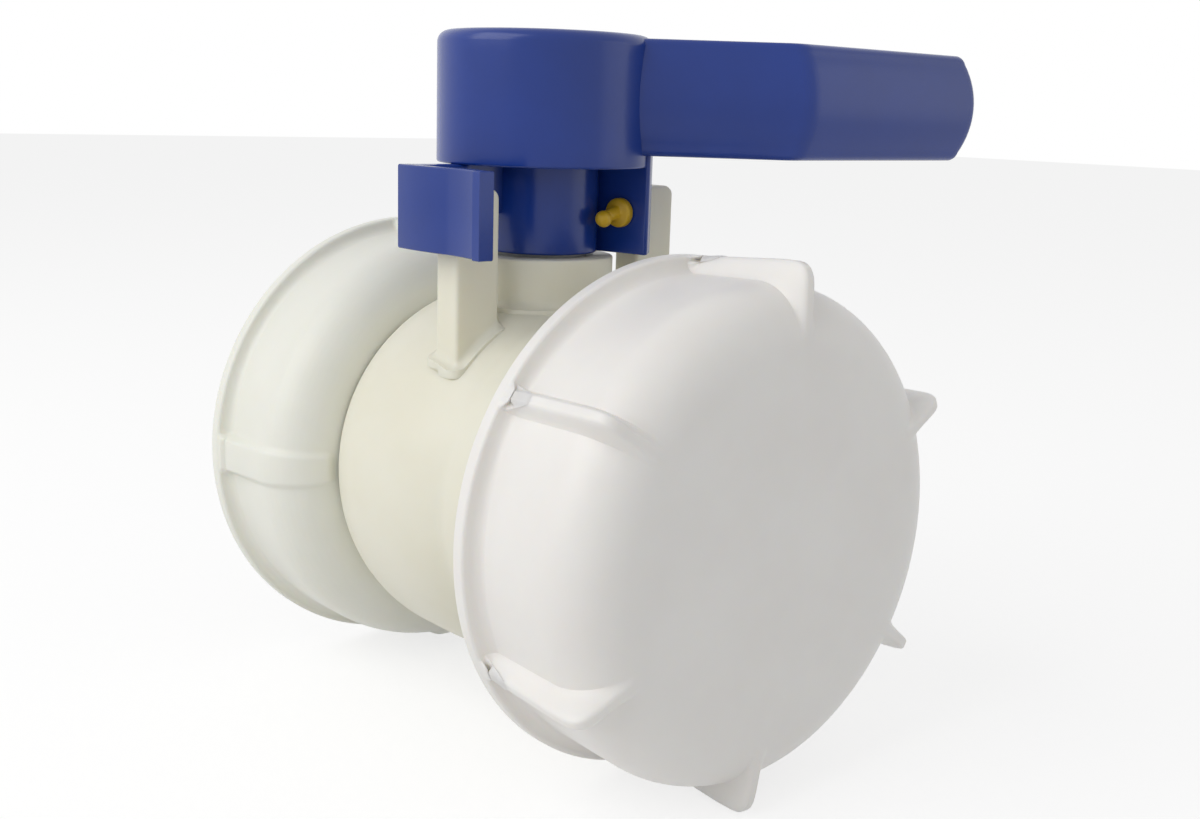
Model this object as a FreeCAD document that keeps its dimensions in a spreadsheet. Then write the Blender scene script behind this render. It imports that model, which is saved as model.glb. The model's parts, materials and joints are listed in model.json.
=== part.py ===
import FreeCAD, Part
import math
import os

import Sketcher

# A plastic ball valve for a bulk liquid container: union nut on the tank side, dust cap on the outlet.
# Frame: the stem points up (+Z), the pipe runs along Y with the outlet towards -Y, and the ball centre
# is the origin. The valve is drawn shut, so the ball's bore lies along X.

os.makedirs("parts", exist_ok=True)
doc = FreeCAD.newDocument("ibc_valve")

# ---------------------------------------------------------------------------------------------------
# Driving dimensions, in millimetres and degrees
# ---------------------------------------------------------------------------------------------------
DRIVING = {
    # flow line: radii outwards from the bore
    "bore_radius": 18.0,
    "ball_wall": 6.0,
    "ball_clearance": 0.5,
    "outlet_wall": 2.7,
    "outlet_chamfer": 1.0,
    "barrel_step": 2.4,
    "thread_depth": 3.4,
    "shell_wall": 4.8,
    "rim_flare": 2.1,
    "inlet_wall": 2.1,
    "shoulder_step": 1.2,
    # flow line: lengths outwards from the ball's centre
    "barrel_length": 7.0,
    "seat_length": 4.8,
    "inlet_land": 6.74,
    "shoulder_setback": 6.6,
    "retainer_length": 8.0,
    "outlet_depth": 23.54,
    # general clearances
    "turn_gap": 0.3,
    "nut_gap": 0.4,
    "seal_gap": 0.2,
    "slip_gap": 0.1,
    "running_gap": 0.05,
    "overrun": 1.0,
    # seats and their backing rings
    "seat_inset": 1.4,
    "seat_land": 2.1,
    "backing_inset": 2.0,
    "backing_section": 0.9,
    "backing_groove": 2.0,
    "retainer_notch": 6.0,
    "retainer_notch_depth": 3.0,
    # captive ring and gasket of the union nut
    "ring_thickness": 1.9,
    "ring_depth": 1.6,
    "ring_proud": 2.4,
    "ring_split": 5.0,
    "gasket_thickness": 2.6,
    "gasket_inset": 1.0,
    "gasket_proud": 1.8,
    # hand-tightened shells: the union nut and the dust cap
    "rim_thickness": 2.4,
    "shell_taper": 0.4,
    "shell_cove": 1.6,
    "shell_corner": 8.2,
    "grip_tail": 6.6,
    "nut_lip": 2.6,
    "nut_runout": 0.6,
    "nut_thread_length": 12.2,
    "nut_grip_count": 4.0,
    "nut_grip_width": 6.0,
    "nut_grip_height": 0.7,
    "cap_length": 24.1,
    "cap_wall": 2.3,
    "cap_inner_fillet": 2.4,
    "cap_grip_count": 6.0,
    "cap_grip_width": 2.4,
    "cap_grip_proud": 1.1,
    "cap_grip_angle": 25.5,
    "cap_grip_drop": 0.9,
    "cap_grip_tip": 2.6,
    "cap_seal_thickness": 1.4,
    "cap_seal_overlap": 0.8,
    # neck tower and the two stop wings
    "neck_wall": 1.9,
    "neck_height": 6.8,
    "wing_gap": 5.0,
    "wing_width": 7.6,
    "wing_front": 7.2,
    "wing_thickness": 5.2,
    "wing_height": 10.6,
    "wing_corner": 1.5,
    # stem
    "stem_bore_radius": 7.0,
    "stem_flange_step": 2.0,
    "stem_flange_thickness": 2.0,
    "stem_standoff": 1.0,
    "thrust_washer_thickness": 1.0,
    "stem_ring_section": 0.72,
    "stem_ring_groove": 1.7,
    "stem_ring_depth": 1.5,
    "stem_ring_setback": 1.8,
    "stem_ring_spacing": 2.8,
    "stem_corner_inset": 0.6,
    "stem_rise": 5.5,
    "stem_pilot_radius": 2.0,
    "tang_width": 5.0,
    "tang_length": 14.0,
    "tang_depth": 3.8,
    "tang_play": 0.2,
    # handle
    "drum_step": 2.5,
    "drum_gap": 0.5,
    "hub_overhang": 7.7,
    "hub_lift": 3.1,
    "hub_height": 19.5,
    "hub_fillet": 1.8,
    "hub_skin": 2.4,
    "web_thickness": 3.4,
    "recess_radius": 6.4,
    "hub_rib_count": 6.0,
    "hub_rib_thickness": 1.6,
    "lever_lift": 1.9,
    "lever_drop": 0.5,
    "lever_length": 50.8,
    "lever_reach": 15.5,
    "lever_thickness": 7.6,
    "lever_crown": 1.5,
    "lever_angle": 42.5,
    "lever_offset": 4.45,
    "lever_root": 6.0,
    "lever_bend_radius": 8.0,
    "lever_edge_round": 1.2,
    "lever_tip_round": 2.2,
    "core_wall": 2.3,
    "core_depth": 13.0,
    "core_length": 16.0,
    "core_web": 2.0,
    # stop ear with the locking pin
    "ear_proud": 0.5,
    "ear_root_inset": 1.0,
    "ear_overlap": 3.5,
    "ear_shelf": 2.2,
    "pin_run": 2.0,
    "pin_rise": 6.3,
    "pin_tilt": 13.4,
    "pin_shank_radius": 1.5,
    "pin_shank_length": 4.4,
    "pin_flange_radius": 2.2,
    "pin_flange_thickness": 1.3,
    "pin_neck_radius": 1.0,
    "pin_knob_radius": 1.3,
    "pin_knob_reach": 6.6,
    # spring tongue beside the left wing
    "tongue_lift": 1.0,
    "tongue_gap": 1.9,
    "tongue_thickness": 1.8,
    "tongue_rear": 2.4,
    "tongue_arm_thickness": 3.4,
    "arm_setback": 2.0,
    "arm_root_rise": 5.0,
    "arm_gusset": 4.0,
    "tongue_waist": 9.0,
    "tongue_front": 16.6,
    "tongue_lip": 1.6,
    "tongue_sway": 0.6,
    "tongue_rear_curve": 40.0,
    "tongue_front_curve": 30.0,
    # handle screw and its washer
    "screw_shank_radius": 1.9,
    "screw_hole_radius": 2.3,
    "screw_length": 12.0,
    "screw_point": 1.5,
    "screw_head_radius": 4.0,
    "screw_head_height": 2.6,
    "screw_drive": 1.1,
    "screw_washer_radius": 5.2,
    "screw_washer_thickness": 0.9,
}

sheet = doc.addObject("Spreadsheet::Sheet", "Sizes")
for row, (alias, number) in enumerate(DRIVING.items(), start=1):
    sheet.set(f"A{row}", alias)
    sheet.set(f"B{row}", str(number))
    sheet.setAlias(f"B{row}", alias)
doc.recompute()


class Size:
    """A number that carries the spreadsheet formula it was worked out from."""

    def __init__(self, value, formula):
        self.value = value
        self.formula = formula

    def _join(self, other, sign, value):
        return Size(value, f"({self.formula} {sign} {as_size(other).formula})")

    def __add__(self, other):
        return self._join(other, "+", self.value + as_size(other).value)

    def __sub__(self, other):
        return self._join(other, "-", self.value - as_size(other).value)

    def __mul__(self, other):
        return self._join(other, "*", self.value * as_size(other).value)

    def __truediv__(self, other):
        return self._join(other, "/", self.value / as_size(other).value)

    def __neg__(self):
        return Size(-self.value, f"(0 - {self.formula})")

    def __radd__(self, other):
        return as_size(other) + self

    def __rsub__(self, other):
        return as_size(other) - self

    def __rmul__(self, other):
        return as_size(other) * self


def as_size(number):
    """Turns a plain number into a Size, and leaves a Size as it is."""
    if isinstance(number, Size):
        return number
    return Size(float(number), repr(float(number)))


def root(square):
    """Square root of a Size."""
    return Size(math.sqrt(square.value), f"sqrt({square.formula})")


def cosine(angle):
    """Cosine of a Size in degrees."""
    return Size(math.cos(math.radians(angle.value)), f"cos({angle.formula} * 1deg)")


def sine(angle):
    """Sine of a Size in degrees."""
    return Size(math.sin(math.radians(angle.value)), f"sin({angle.formula} * 1deg)")


S = {alias: Size(float(sheet.get(alias)), f"Sizes.{alias}") for alias in DRIVING}
ZERO = as_size(0)


# ---------------------------------------------------------------------------------------------------
# Modelling helpers
# ---------------------------------------------------------------------------------------------------
class Arc:
    """Marks the edge that leaves a vertex as an arc: its radius, and +1 or -1 for the side it bulges to."""

    def __init__(self, radius, side):
        self.radius = as_size(radius)
        self.side = side


def new_body(label):
    body = doc.addObject("PartDesign::Body", label)
    body.Label = label
    return body


def origin_plane(body, role):
    return next(item for item in body.Origin.OriginFeatures if item.Role == role)


def new_sketch(body, plane, name, lift=None, along=None, turn=None):
    """A sketch on an origin plane: lifted along its normal, shifted in the plane, turned about an axis."""
    sketch = body.newObject("Sketcher::SketchObject", name)
    sketch.AttachmentSupport = [(origin_plane(body, plane), "")]
    sketch.MapMode = "FlatFace"
    if turn is not None:
        turned = FreeCAD.Rotation(FreeCAD.Vector(*turn[0]), turn[1].value)
        sketch.AttachmentOffset = FreeCAD.Placement(FreeCAD.Vector(0, 0, 0), turned)
        sketch.setExpression("AttachmentOffset.Rotation.Angle", f"{turn[1].formula} * 1deg")
    if lift is not None:
        sketch.setExpression("AttachmentOffset.Base.z", lift.formula)
    if along is not None:
        sketch.setExpression("AttachmentOffset.Base.x", along[0].formula)
        sketch.setExpression("AttachmentOffset.Base.y", along[1].formula)
    return sketch


def bind(sketch, constraint, size):
    """Adds a dimensional constraint and ties it to its spreadsheet formula."""
    index = sketch.addConstraint(constraint)
    sketch.setExpression(f"Constraints[{index}]", size.formula)


def arc_between(start, end, radius, side):
    """The minor arc of a radius from start to end, bulging to the right (+1) or left (-1) of the way."""
    chord = end - start
    half = chord.Length / 2
    rise = radius - math.sqrt(max(radius * radius - half * half, 0.0))
    across = FreeCAD.Vector(chord.y, -chord.x, 0).normalize() * side
    return Part.Arc(start, (start + end) * 0.5 + across * rise, end)


def draw_loop(sketch, vertices):
    """Draws a closed outline. Each vertex is (x, y) or (x, y, Arc) where the edge leaving it is an arc."""
    points = [FreeCAD.Vector(as_size(v[0]).value, as_size(v[1]).value, 0) for v in vertices]
    first = sketch.GeometryCount
    count = len(vertices)
    starts = []
    ends = []
    for i, vertex in enumerate(vertices):
        start = points[i]
        end = points[(i + 1) % count]
        if len(vertex) > 2:
            sketch.addGeometry(arc_between(start, end, vertex[2].radius.value, vertex[2].side), False)
            forward = (sketch.getPoint(first + i, 1) - start).Length < 1e-6
            starts.append(1 if forward else 2)
            ends.append(2 if forward else 1)
        else:
            sketch.addGeometry(Part.LineSegment(start, end), False)
            starts.append(1)
            ends.append(2)
    for i in range(count):
        after = (i + 1) % count
        joint = Sketcher.Constraint("Coincident", first + i, ends[i], first + after, starts[after])
        sketch.addConstraint(joint)
    for i, vertex in enumerate(vertices):
        place = (as_size(vertex[0]), as_size(vertex[1]))
        for kind, size in zip(("DistanceX", "DistanceY"), place):
            bind(sketch, Sketcher.Constraint(kind, -1, 1, first + i, starts[i], size.value), size)
        if len(vertex) > 2:
            radius = vertex[2].radius
            bind(sketch, Sketcher.Constraint("Radius", first + i, radius.value), radius)


def draw_circle(sketch, x, y, radius):
    """Draws a circle whose centre and radius are tied to their sizes."""
    x, y, radius = as_size(x), as_size(y), as_size(radius)
    index = sketch.addGeometry(Part.Circle(FreeCAD.Vector(x.value, y.value, 0), FreeCAD.Vector(0, 0, 1),
                                           radius.value), False)
    bind(sketch, Sketcher.Constraint("DistanceX", -1, 1, index, 3, x.value), x)
    bind(sketch, Sketcher.Constraint("DistanceY", -1, 1, index, 3, y.value), y)
    bind(sketch, Sketcher.Constraint("Radius", index, radius.value), radius)


def draw_box(sketch, x_low, x_high, y_low, y_high):
    draw_loop(sketch, [(x_low, y_low), (x_high, y_low), (x_high, y_high), (x_low, y_high)])


def revolve(body, plane, name, vertices, cut=False):
    """Turns an outline about the sketch's vertical axis: XY_Plane turns about Y, XZ_Plane about Z."""
    sketch = new_sketch(body, plane, name + "_profile")
    draw_loop(sketch, vertices)
    feature = body.newObject("PartDesign::Groove" if cut else "PartDesign::Revolution", name)
    feature.Profile = sketch
    feature.ReferenceAxis = (sketch, ["V_Axis"])
    feature.Angle = 360
    return finish_feature(body, feature, cut)


def pad(body, sketch, length, name, symmetric=False, down=False):
    feature = body.newObject("PartDesign::Pad", name)
    feature.Profile = sketch
    feature.setExpression("Length", length.formula)
    feature.Midplane = symmetric
    feature.Reversed = down
    return finish_feature(body, feature, False)


def pocket(body, sketch, length, name, symmetric=False, forward=False):
    feature = body.newObject("PartDesign::Pocket", name)
    feature.Profile = sketch
    feature.setExpression("Length", length.formula)
    feature.Midplane = symmetric
    feature.Reversed = forward
    return finish_feature(body, feature, True)


def finish_feature(body, feature, cut):
    """Recomputes a feature and makes sure that it really added or removed material."""
    base = feature.BaseFeature
    before = base.Shape.Volume if base is not None else 0.0
    doc.recompute()
    change = feature.Shape.Volume - before
    if (change >= 0) if cut else (change <= 0):
        raise RuntimeError(f"{body.Label}.{feature.Name} changed the volume by {change:.3f}")
    return feature


def repeat_round(body, feature, sketch_axis, count, name):
    """Repeats a feature evenly round an axis."""
    pattern = body.newObject("PartDesign::PolarPattern", name)
    pattern.Originals = [feature]
    pattern.Axis = sketch_axis
    pattern.Angle = 360
    pattern.Occurrences = count
    body.Tip = pattern
    doc.recompute()
    return pattern


def round_edges(body, feature, chosen, radius, name):
    """Rounds the edges that the test picks out of a feature's shape."""
    names = [f"Edge{i}" for i, edge in enumerate(feature.Shape.Edges, start=1) if chosen(edge)]
    if not names:
        raise RuntimeError(f"{body.Label}.{name} found no edge to round")
    fillet = body.newObject("PartDesign::Fillet", name)
    fillet.Base = (feature, names)
    fillet.setExpression("Radius", radius.formula)
    doc.recompute()
    return fillet


def ring(label, inner, outer, low, high):
    """A plain ring about the pipe axis, from y = low to y = high."""
    body = new_body(label)
    revolve(body, "XY_Plane", label + "_turn", [(inner, low), (outer, low), (outer, high), (inner, high)])
    return body


def round_cord_ring(label, axis_plane, radius, section, place):
    """A torus: a circle of the given section turned about the pipe (XY_Plane) or the stem (XZ_Plane)."""
    body = new_body(label)
    sketch = new_sketch(body, axis_plane, label + "_profile")
    draw_circle(sketch, radius, place, section)
    feature = body.newObject("PartDesign::Revolution", label + "_turn")
    feature.Profile = sketch
    feature.ReferenceAxis = (sketch, ["V_Axis"])
    feature.Angle = 360
    finish_feature(body, feature, False)
    return body


# ---------------------------------------------------------------------------------------------------
# Sizes worked out from the driving dimensions
# ---------------------------------------------------------------------------------------------------
over = S["overrun"]

# radii of the flow line
S["ball_radius"] = S["bore_radius"] + S["ball_wall"]
S["seat_outer_radius"] = S["ball_radius"] - S["seat_inset"]
chamber_radius = S["ball_radius"] + S["ball_clearance"]
pocket_radius = S["seat_outer_radius"] + S["slip_gap"]
S["inlet_neck_radius"] = pocket_radius + S["inlet_wall"]
S["shoulder_land"] = S["inlet_neck_radius"] + S["shoulder_step"]
S["outlet_root_radius"] = chamber_radius + S["outlet_wall"]
S["body_radius"] = S["outlet_root_radius"] + S["barrel_step"]
S["thread_wall_radius"] = S["outlet_root_radius"] + S["thread_depth"]
S["shell_radius"] = S["thread_wall_radius"] + S["shell_wall"]
S["rim_radius"] = S["shell_radius"] + S["rim_flare"]

# lengths on the tank side
dish_radius = S["ball_radius"] + S["seal_gap"]
seat_lip = S["seat_outer_radius"] - S["seat_land"]
S["seat_front"] = root(dish_radius * dish_radius - seat_lip * seat_lip)
S["seat_back"] = S["seat_front"] + S["seat_length"]
S["inlet_end"] = S["seat_back"] + S["inlet_land"]
S["shoulder_end"] = S["inlet_end"] - S["shoulder_setback"]
S["nut_front"] = S["shoulder_end"] + S["nut_gap"]
S["ring_groove_start"] = S["nut_front"] + S["nut_lip"] + S["turn_gap"]
groove_end = S["ring_groove_start"] + S["ring_thickness"] + S["slip_gap"]
thread_start = S["inlet_end"] + S["gasket_thickness"]
S["nut_rim"] = thread_start + S["nut_thread_length"]
S["nut_hole_radius"] = S["inlet_neck_radius"] + S["nut_gap"]
S["nut_runout_radius"] = S["thread_wall_radius"] + S["nut_runout"]

# lengths on the outlet side
retainer_end = S["seat_back"] + S["retainer_length"]
S["outlet_end"] = retainer_end + S["outlet_depth"]
inside = S["outlet_end"] + S["turn_gap"] + S["cap_seal_thickness"]
S["cap_face"] = inside + S["cap_wall"]
S["cap_rim"] = S["cap_face"] - S["cap_length"]

# stem and tower
flange_bottom = S["ball_radius"] + S["stem_standoff"]
S["stem_flange_top"] = flange_bottom + S["stem_flange_thickness"]
S["stem_flange_radius"] = S["stem_bore_radius"] + S["stem_flange_step"]
S["tang_tip"] = S["ball_radius"] - S["tang_depth"]
counterbore_radius = S["stem_flange_radius"] + S["turn_gap"]
counterbore_top = S["stem_flange_top"] + S["thrust_washer_thickness"]
shaft_radius = S["stem_bore_radius"] - S["running_gap"]
square_half = (shaft_radius - S["stem_corner_inset"]) / root(as_size(2))
S["neck_radius"] = counterbore_radius + S["neck_wall"]
S["neck_top"] = counterbore_top + S["neck_height"]

# handle
S["drum_radius"] = S["neck_radius"] - S["drum_step"]
S["hub_radius"] = S["drum_radius"] + S["hub_overhang"]
S["wing_inner"] = S["drum_radius"] + S["wing_gap"]
S["wing_reach"] = S["wing_inner"] + S["wing_width"]
S["wing_top"] = S["neck_top"] + S["wing_height"]
drum_bottom = S["neck_top"] + S["drum_gap"]
S["hub_bottom"] = S["wing_top"] + S["hub_lift"]
S["hub_top"] = S["hub_bottom"] + S["hub_height"]
S["lever_bottom"] = S["hub_bottom"] + S["lever_lift"]
S["lever_top"] = S["hub_top"] - S["lever_drop"]
S["lever_tip"] = S["hub_radius"] + S["lever_length"]
S["lever_front"] = S["hub_radius"] + S["lever_reach"]
S["stem_top"] = S["hub_bottom"] + S["stem_rise"]
S["ear_radius"] = S["hub_radius"] + S["ear_proud"]
S["ear_root_x"] = S["drum_radius"] - S["ear_root_inset"]
S["pin_height"] = drum_bottom + S["pin_rise"]
wing_corner_radius = root(S["wing_reach"] * S["wing_reach"] + S["wing_front"] * S["wing_front"])
tongue_inner = wing_corner_radius + S["turn_gap"] * 2
S["tongue_bottom"] = S["shell_radius"] + S["tongue_lift"]
S["tongue_reach"] = S["wing_reach"] + S["tongue_gap"] + S["tongue_thickness"]
web_bottom = S["stem_top"] + S["turn_gap"]
web_top = web_bottom + S["web_thickness"]
washer_top = web_top + S["screw_washer_thickness"]
screw_tip = washer_top - S["screw_length"]
core_radius = S["hub_radius"] - S["hub_skin"]
core_top = S["hub_top"] - S["web_thickness"]
bodies = {}


def keep(body):
    """Notes a finished body, shifted so that the tank gasket's plane becomes the frame's origin."""
    body.setExpression("Placement.Base.y", f"0 - {thread_start.formula}")
    bodies[body.Label] = body
    return body


# ---------------------------------------------------------------------------------------------------
# Valve body: barrel, neck tower, stop wings, then the flow passage and the stem bore cut out of them
# ---------------------------------------------------------------------------------------------------
body = new_body("valve_body")
barrel_start = root(S["body_radius"] * S["body_radius"] - S["outlet_root_radius"] * S["outlet_root_radius"])
shoulder_drop = S["body_radius"] - S["shoulder_land"]
shoulder_run = S["shoulder_end"] - S["barrel_length"]
shoulder_curve = (shoulder_drop * shoulder_drop + shoulder_run * shoulder_run) / (shoulder_drop * 2)
ring_floor = S["inlet_neck_radius"] - S["ring_depth"]
revolve(body, "XY_Plane", "barrel", [
    (ZERO, -S["outlet_end"]),
    (S["outlet_root_radius"] - S["outlet_chamfer"], -S["outlet_end"]),
    (S["outlet_root_radius"], S["outlet_chamfer"] - S["outlet_end"]),
    (S["outlet_root_radius"], -barrel_start, Arc(S["body_radius"], 1)),
    (S["body_radius"], ZERO),
    (S["body_radius"], S["barrel_length"], Arc(shoulder_curve, 1)),
    (S["shoulder_land"], S["shoulder_end"]),
    (S["inlet_neck_radius"], S["shoulder_end"]),
    (S["inlet_neck_radius"], S["ring_groove_start"]),
    (ring_floor, S["ring_groove_start"]),
    (ring_floor, groove_end),
    (S["inlet_neck_radius"], groove_end),
    (S["inlet_neck_radius"], S["inlet_end"]),
    (ZERO, S["inlet_end"]),
])
tower = new_sketch(body, "XY_Plane", "tower_plan")
draw_circle(tower, ZERO, ZERO, S["neck_radius"])
pad(body, tower, S["neck_top"], "tower")
wings = new_sketch(body, "XZ_Plane", "wings_front", lift=S["wing_front"] - S["wing_thickness"])
corner = S["wing_corner"]
draw_loop(wings, [
    (-S["wing_reach"], ZERO),
    (S["wing_reach"], ZERO),
    (S["wing_reach"], S["wing_top"] - corner, Arc(corner, 1)),
    (S["wing_reach"] - corner, S["wing_top"]),
    (S["wing_inner"], S["wing_top"]),
    (S["wing_inner"], S["neck_top"]),
    (-S["wing_inner"], S["neck_top"]),
    (-S["wing_inner"], S["wing_top"]),
    (corner - S["wing_reach"], S["wing_top"], Arc(corner, 1)),
    (-S["wing_reach"], S["wing_top"] - corner),
])
pad(body, wings, S["wing_thickness"], "wings")
pocket_start = root(chamber_radius * chamber_radius - pocket_radius * pocket_radius)
revolve(body, "XY_Plane", "passage", [
    (ZERO, -(S["outlet_end"] + over)),
    (chamber_radius, -(S["outlet_end"] + over)),
    (chamber_radius, ZERO, Arc(chamber_radius, 1)),
    (pocket_radius, pocket_start),
    (pocket_radius, S["seat_back"]),
    (S["bore_radius"], S["seat_back"]),
    (S["bore_radius"], S["inlet_end"] + over),
    (ZERO, S["inlet_end"] + over),
], cut=True)
revolve(body, "XZ_Plane", "stem_bore", [
    (ZERO, S["tang_tip"]),
    (counterbore_radius, S["tang_tip"]),
    (counterbore_radius, counterbore_top),
    (S["stem_bore_radius"], counterbore_top),
    (S["stem_bore_radius"], S["neck_top"] + over),
    (ZERO, S["neck_top"] + over),
], cut=True)
keep(body)

# ---------------------------------------------------------------------------------------------------
# Ball, with the bore across the pipe while the valve is shut, and a slot for the stem's tang
# ---------------------------------------------------------------------------------------------------
body = new_body("ball")
revolve(body, "XY_Plane", "sphere", [
    (ZERO, -S["ball_radius"], Arc(S["ball_radius"], 1)),
    (S["ball_radius"], ZERO, Arc(S["ball_radius"], 1)),
    (ZERO, S["ball_radius"]),
])
bore = new_sketch(body, "YZ_Plane", "bore_end")
draw_circle(bore, ZERO, ZERO, S["bore_radius"])
pocket(body, bore, S["ball_radius"] * 3, "bore", symmetric=True)
slot = new_sketch(body, "XZ_Plane", "slot_end")
slot_half = S["tang_width"] / 2 + S["tang_play"]
draw_box(slot, -slot_half, slot_half, S["tang_tip"] - S["tang_play"], S["ball_radius"] + over)
pocket(body, slot, S["ball_radius"] * 3, "slot", symmetric=True)
keep(body)


# ---------------------------------------------------------------------------------------------------
# Seats, their backing rings and the retainer that is loaded from the outlet
# ---------------------------------------------------------------------------------------------------
def seat(label, way):
    """A seat ring: way is +1 on the tank side and -1 on the outlet side."""
    body = new_body(label)
    low = root(dish_radius * dish_radius - S["bore_radius"] * S["bore_radius"])
    half = S["backing_groove"] / 2
    outline = [
        (S["bore_radius"], low, Arc(dish_radius, -way)),
        (seat_lip, S["seat_front"]),
        (S["seat_outer_radius"], S["seat_front"]),
        (S["seat_outer_radius"], S["seat_back"]),
        (backing_radius + half, S["seat_back"]),
        (backing_radius + half, S["seat_back"] - S["backing_groove"]),
        (backing_radius - half, S["seat_back"] - S["backing_groove"]),
        (backing_radius - half, S["seat_back"]),
        (S["bore_radius"], S["seat_back"]),
    ]
    if way < 0:
        outline = [(vertex[0], -vertex[1], *vertex[2:]) for vertex in outline]
    revolve(body, "XY_Plane", label + "_turn", outline)
    return keep(body)


backing_radius = S["seat_outer_radius"] - S["backing_inset"]
seat("seat_ring_inlet", 1)
seat("seat_ring_outlet", -1)
backing_place = S["seat_back"] - S["backing_groove"] / 2
keep(round_cord_ring("seat_o_ring_inlet", "XY_Plane", backing_radius, S["backing_section"], backing_place))
keep(round_cord_ring("seat_o_ring_outlet", "XY_Plane", backing_radius, S["backing_section"], -backing_place))

body = new_body("seat_retainer")
retainer_radius = chamber_radius - S["slip_gap"]
retainer_groove_floor = retainer_radius - S["backing_groove"]
retainer_ring_place = S["seat_back"] + S["backing_groove"] * 1.5
retainer_bore = S["bore_radius"] + S["slip_gap"]
revolve(body, "XY_Plane", "cup", [
    (retainer_bore, -retainer_end),
    (retainer_radius, -retainer_end),
    (retainer_radius, -(retainer_ring_place + S["backing_groove"] / 2)),
    (retainer_groove_floor, -(retainer_ring_place + S["backing_groove"] / 2)),
    (retainer_groove_floor, -(retainer_ring_place - S["backing_groove"] / 2)),
    (retainer_radius, -(retainer_ring_place - S["backing_groove"] / 2)),
    (retainer_radius, -S["seat_front"]),
    (pocket_radius, -S["seat_front"]),
    (pocket_radius, -S["seat_back"]),
    (retainer_bore, -S["seat_back"]),
])
notch = new_sketch(body, "XZ_Plane", "notch_plan", lift=retainer_end - S["retainer_notch_depth"])
draw_box(notch, -S["retainer_notch"] / 2, S["retainer_notch"] / 2, S["bore_radius"] - over,
         S["bore_radius"] + S["retainer_notch_depth"])
notch_cut = pocket(body, notch, S["retainer_notch_depth"] + over, "notch", forward=True)
repeat_round(body, notch_cut, (notch, ["N_Axis"]), 4, "notches")
keep(body)
retainer_ring_radius = retainer_groove_floor + S["slip_gap"] + S["backing_section"]
keep(round_cord_ring("retainer_o_ring", "XY_Plane", retainer_ring_radius, S["backing_section"],
                     -retainer_ring_place))

# ---------------------------------------------------------------------------------------------------
# Stem with its tang, square and pilot hole; the thrust washer and the two stem rings
# ---------------------------------------------------------------------------------------------------
body = new_body("stem")
square_start = S["neck_top"] + S["turn_gap"]
stem_ring_low = counterbore_top + S["stem_ring_setback"]
groove_half = S["stem_ring_groove"] / 2
shaft_outline = [
    (ZERO, flange_bottom),
    (S["stem_flange_radius"], flange_bottom),
    (S["stem_flange_radius"], S["stem_flange_top"]),
    (shaft_radius, S["stem_flange_top"]),
]
for number in (0, 1):
    centre = stem_ring_low + S["stem_ring_spacing"] * number
    shaft_outline += [
        (shaft_radius, centre - groove_half),
        (shaft_radius - S["stem_ring_depth"], centre - groove_half),
        (shaft_radius - S["stem_ring_depth"], centre + groove_half),
        (shaft_radius, centre + groove_half),
    ]
shaft_outline += [(shaft_radius, square_start), (ZERO, square_start)]
revolve(body, "XZ_Plane", "shaft", shaft_outline)
tang = new_sketch(body, "XY_Plane", "tang_plan", lift=S["tang_tip"])
draw_box(tang, -S["tang_width"] / 2, S["tang_width"] / 2, -S["tang_length"] / 2, S["tang_length"] / 2)
pad(body, tang, flange_bottom + over - S["tang_tip"], "tang")
square = new_sketch(body, "XY_Plane", "square_plan", lift=square_start - over)
draw_box(square, -square_half, square_half, -square_half, square_half)
pad(body, square, S["stem_top"] - square_start + over, "square")
pilot = new_sketch(body, "XY_Plane", "pilot_plan", lift=screw_tip - S["drum_gap"])
draw_circle(pilot, ZERO, ZERO, S["stem_pilot_radius"])
pocket(body, pilot, S["stem_top"] - screw_tip + S["drum_gap"] + over, "pilot", forward=True)
keep(body)

body = new_body("stem_thrust_washer")
revolve(body, "XZ_Plane", "washer_turn", [
    (S["stem_bore_radius"] + S["turn_gap"], S["stem_flange_top"]),
    (S["stem_flange_radius"], S["stem_flange_top"]),
    (S["stem_flange_radius"], counterbore_top),
    (S["stem_bore_radius"] + S["turn_gap"], counterbore_top),
])
keep(body)
stem_ring_radius = S["stem_bore_radius"] - S["running_gap"] - S["stem_ring_section"]
keep(round_cord_ring("stem_o_ring_lower", "XZ_Plane", stem_ring_radius, S["stem_ring_section"],
                     stem_ring_low))
keep(round_cord_ring("stem_o_ring_upper", "XZ_Plane", stem_ring_radius, S["stem_ring_section"],
                     stem_ring_low + S["stem_ring_spacing"]))

# ---------------------------------------------------------------------------------------------------
# Handle: one moulding with a cored hub, a drum on the stem's square, a bent lever, the stop ear that
# carries the locking pin, and the spring tongue
# ---------------------------------------------------------------------------------------------------
body = new_body("handle")
fillet = S["hub_fillet"]
revolve(body, "XZ_Plane", "hub", [
    (ZERO, drum_bottom),
    (S["drum_radius"], drum_bottom),
    (S["drum_radius"], S["hub_bottom"]),
    (S["hub_radius"], S["hub_bottom"]),
    (S["hub_radius"], S["hub_top"] - fillet, Arc(fillet, 1)),
    (S["hub_radius"] - fillet, S["hub_top"]),
    (ZERO, S["hub_top"]),
])
revolve(body, "XZ_Plane", "hub_core", [
    (S["drum_radius"], S["hub_bottom"] - over),
    (core_radius, S["hub_bottom"] - over),
    (core_radius, core_top),
    (S["drum_radius"], core_top),
], cut=True)

# the radial ribs inside the hub
rib = new_sketch(body, "XY_Plane", "hub_rib_plan", lift=S["hub_bottom"] + over)
half = S["hub_rib_thickness"] / 2
draw_box(rib, S["drum_radius"] - over, core_radius + over, -half, half)
rib_pad = pad(body, rib, core_top - S["hub_bottom"], "hub_rib")
repeat_round(body, rib_pad, (rib, ["N_Axis"]), int(DRIVING["hub_rib_count"]), "hub_ribs")

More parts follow.
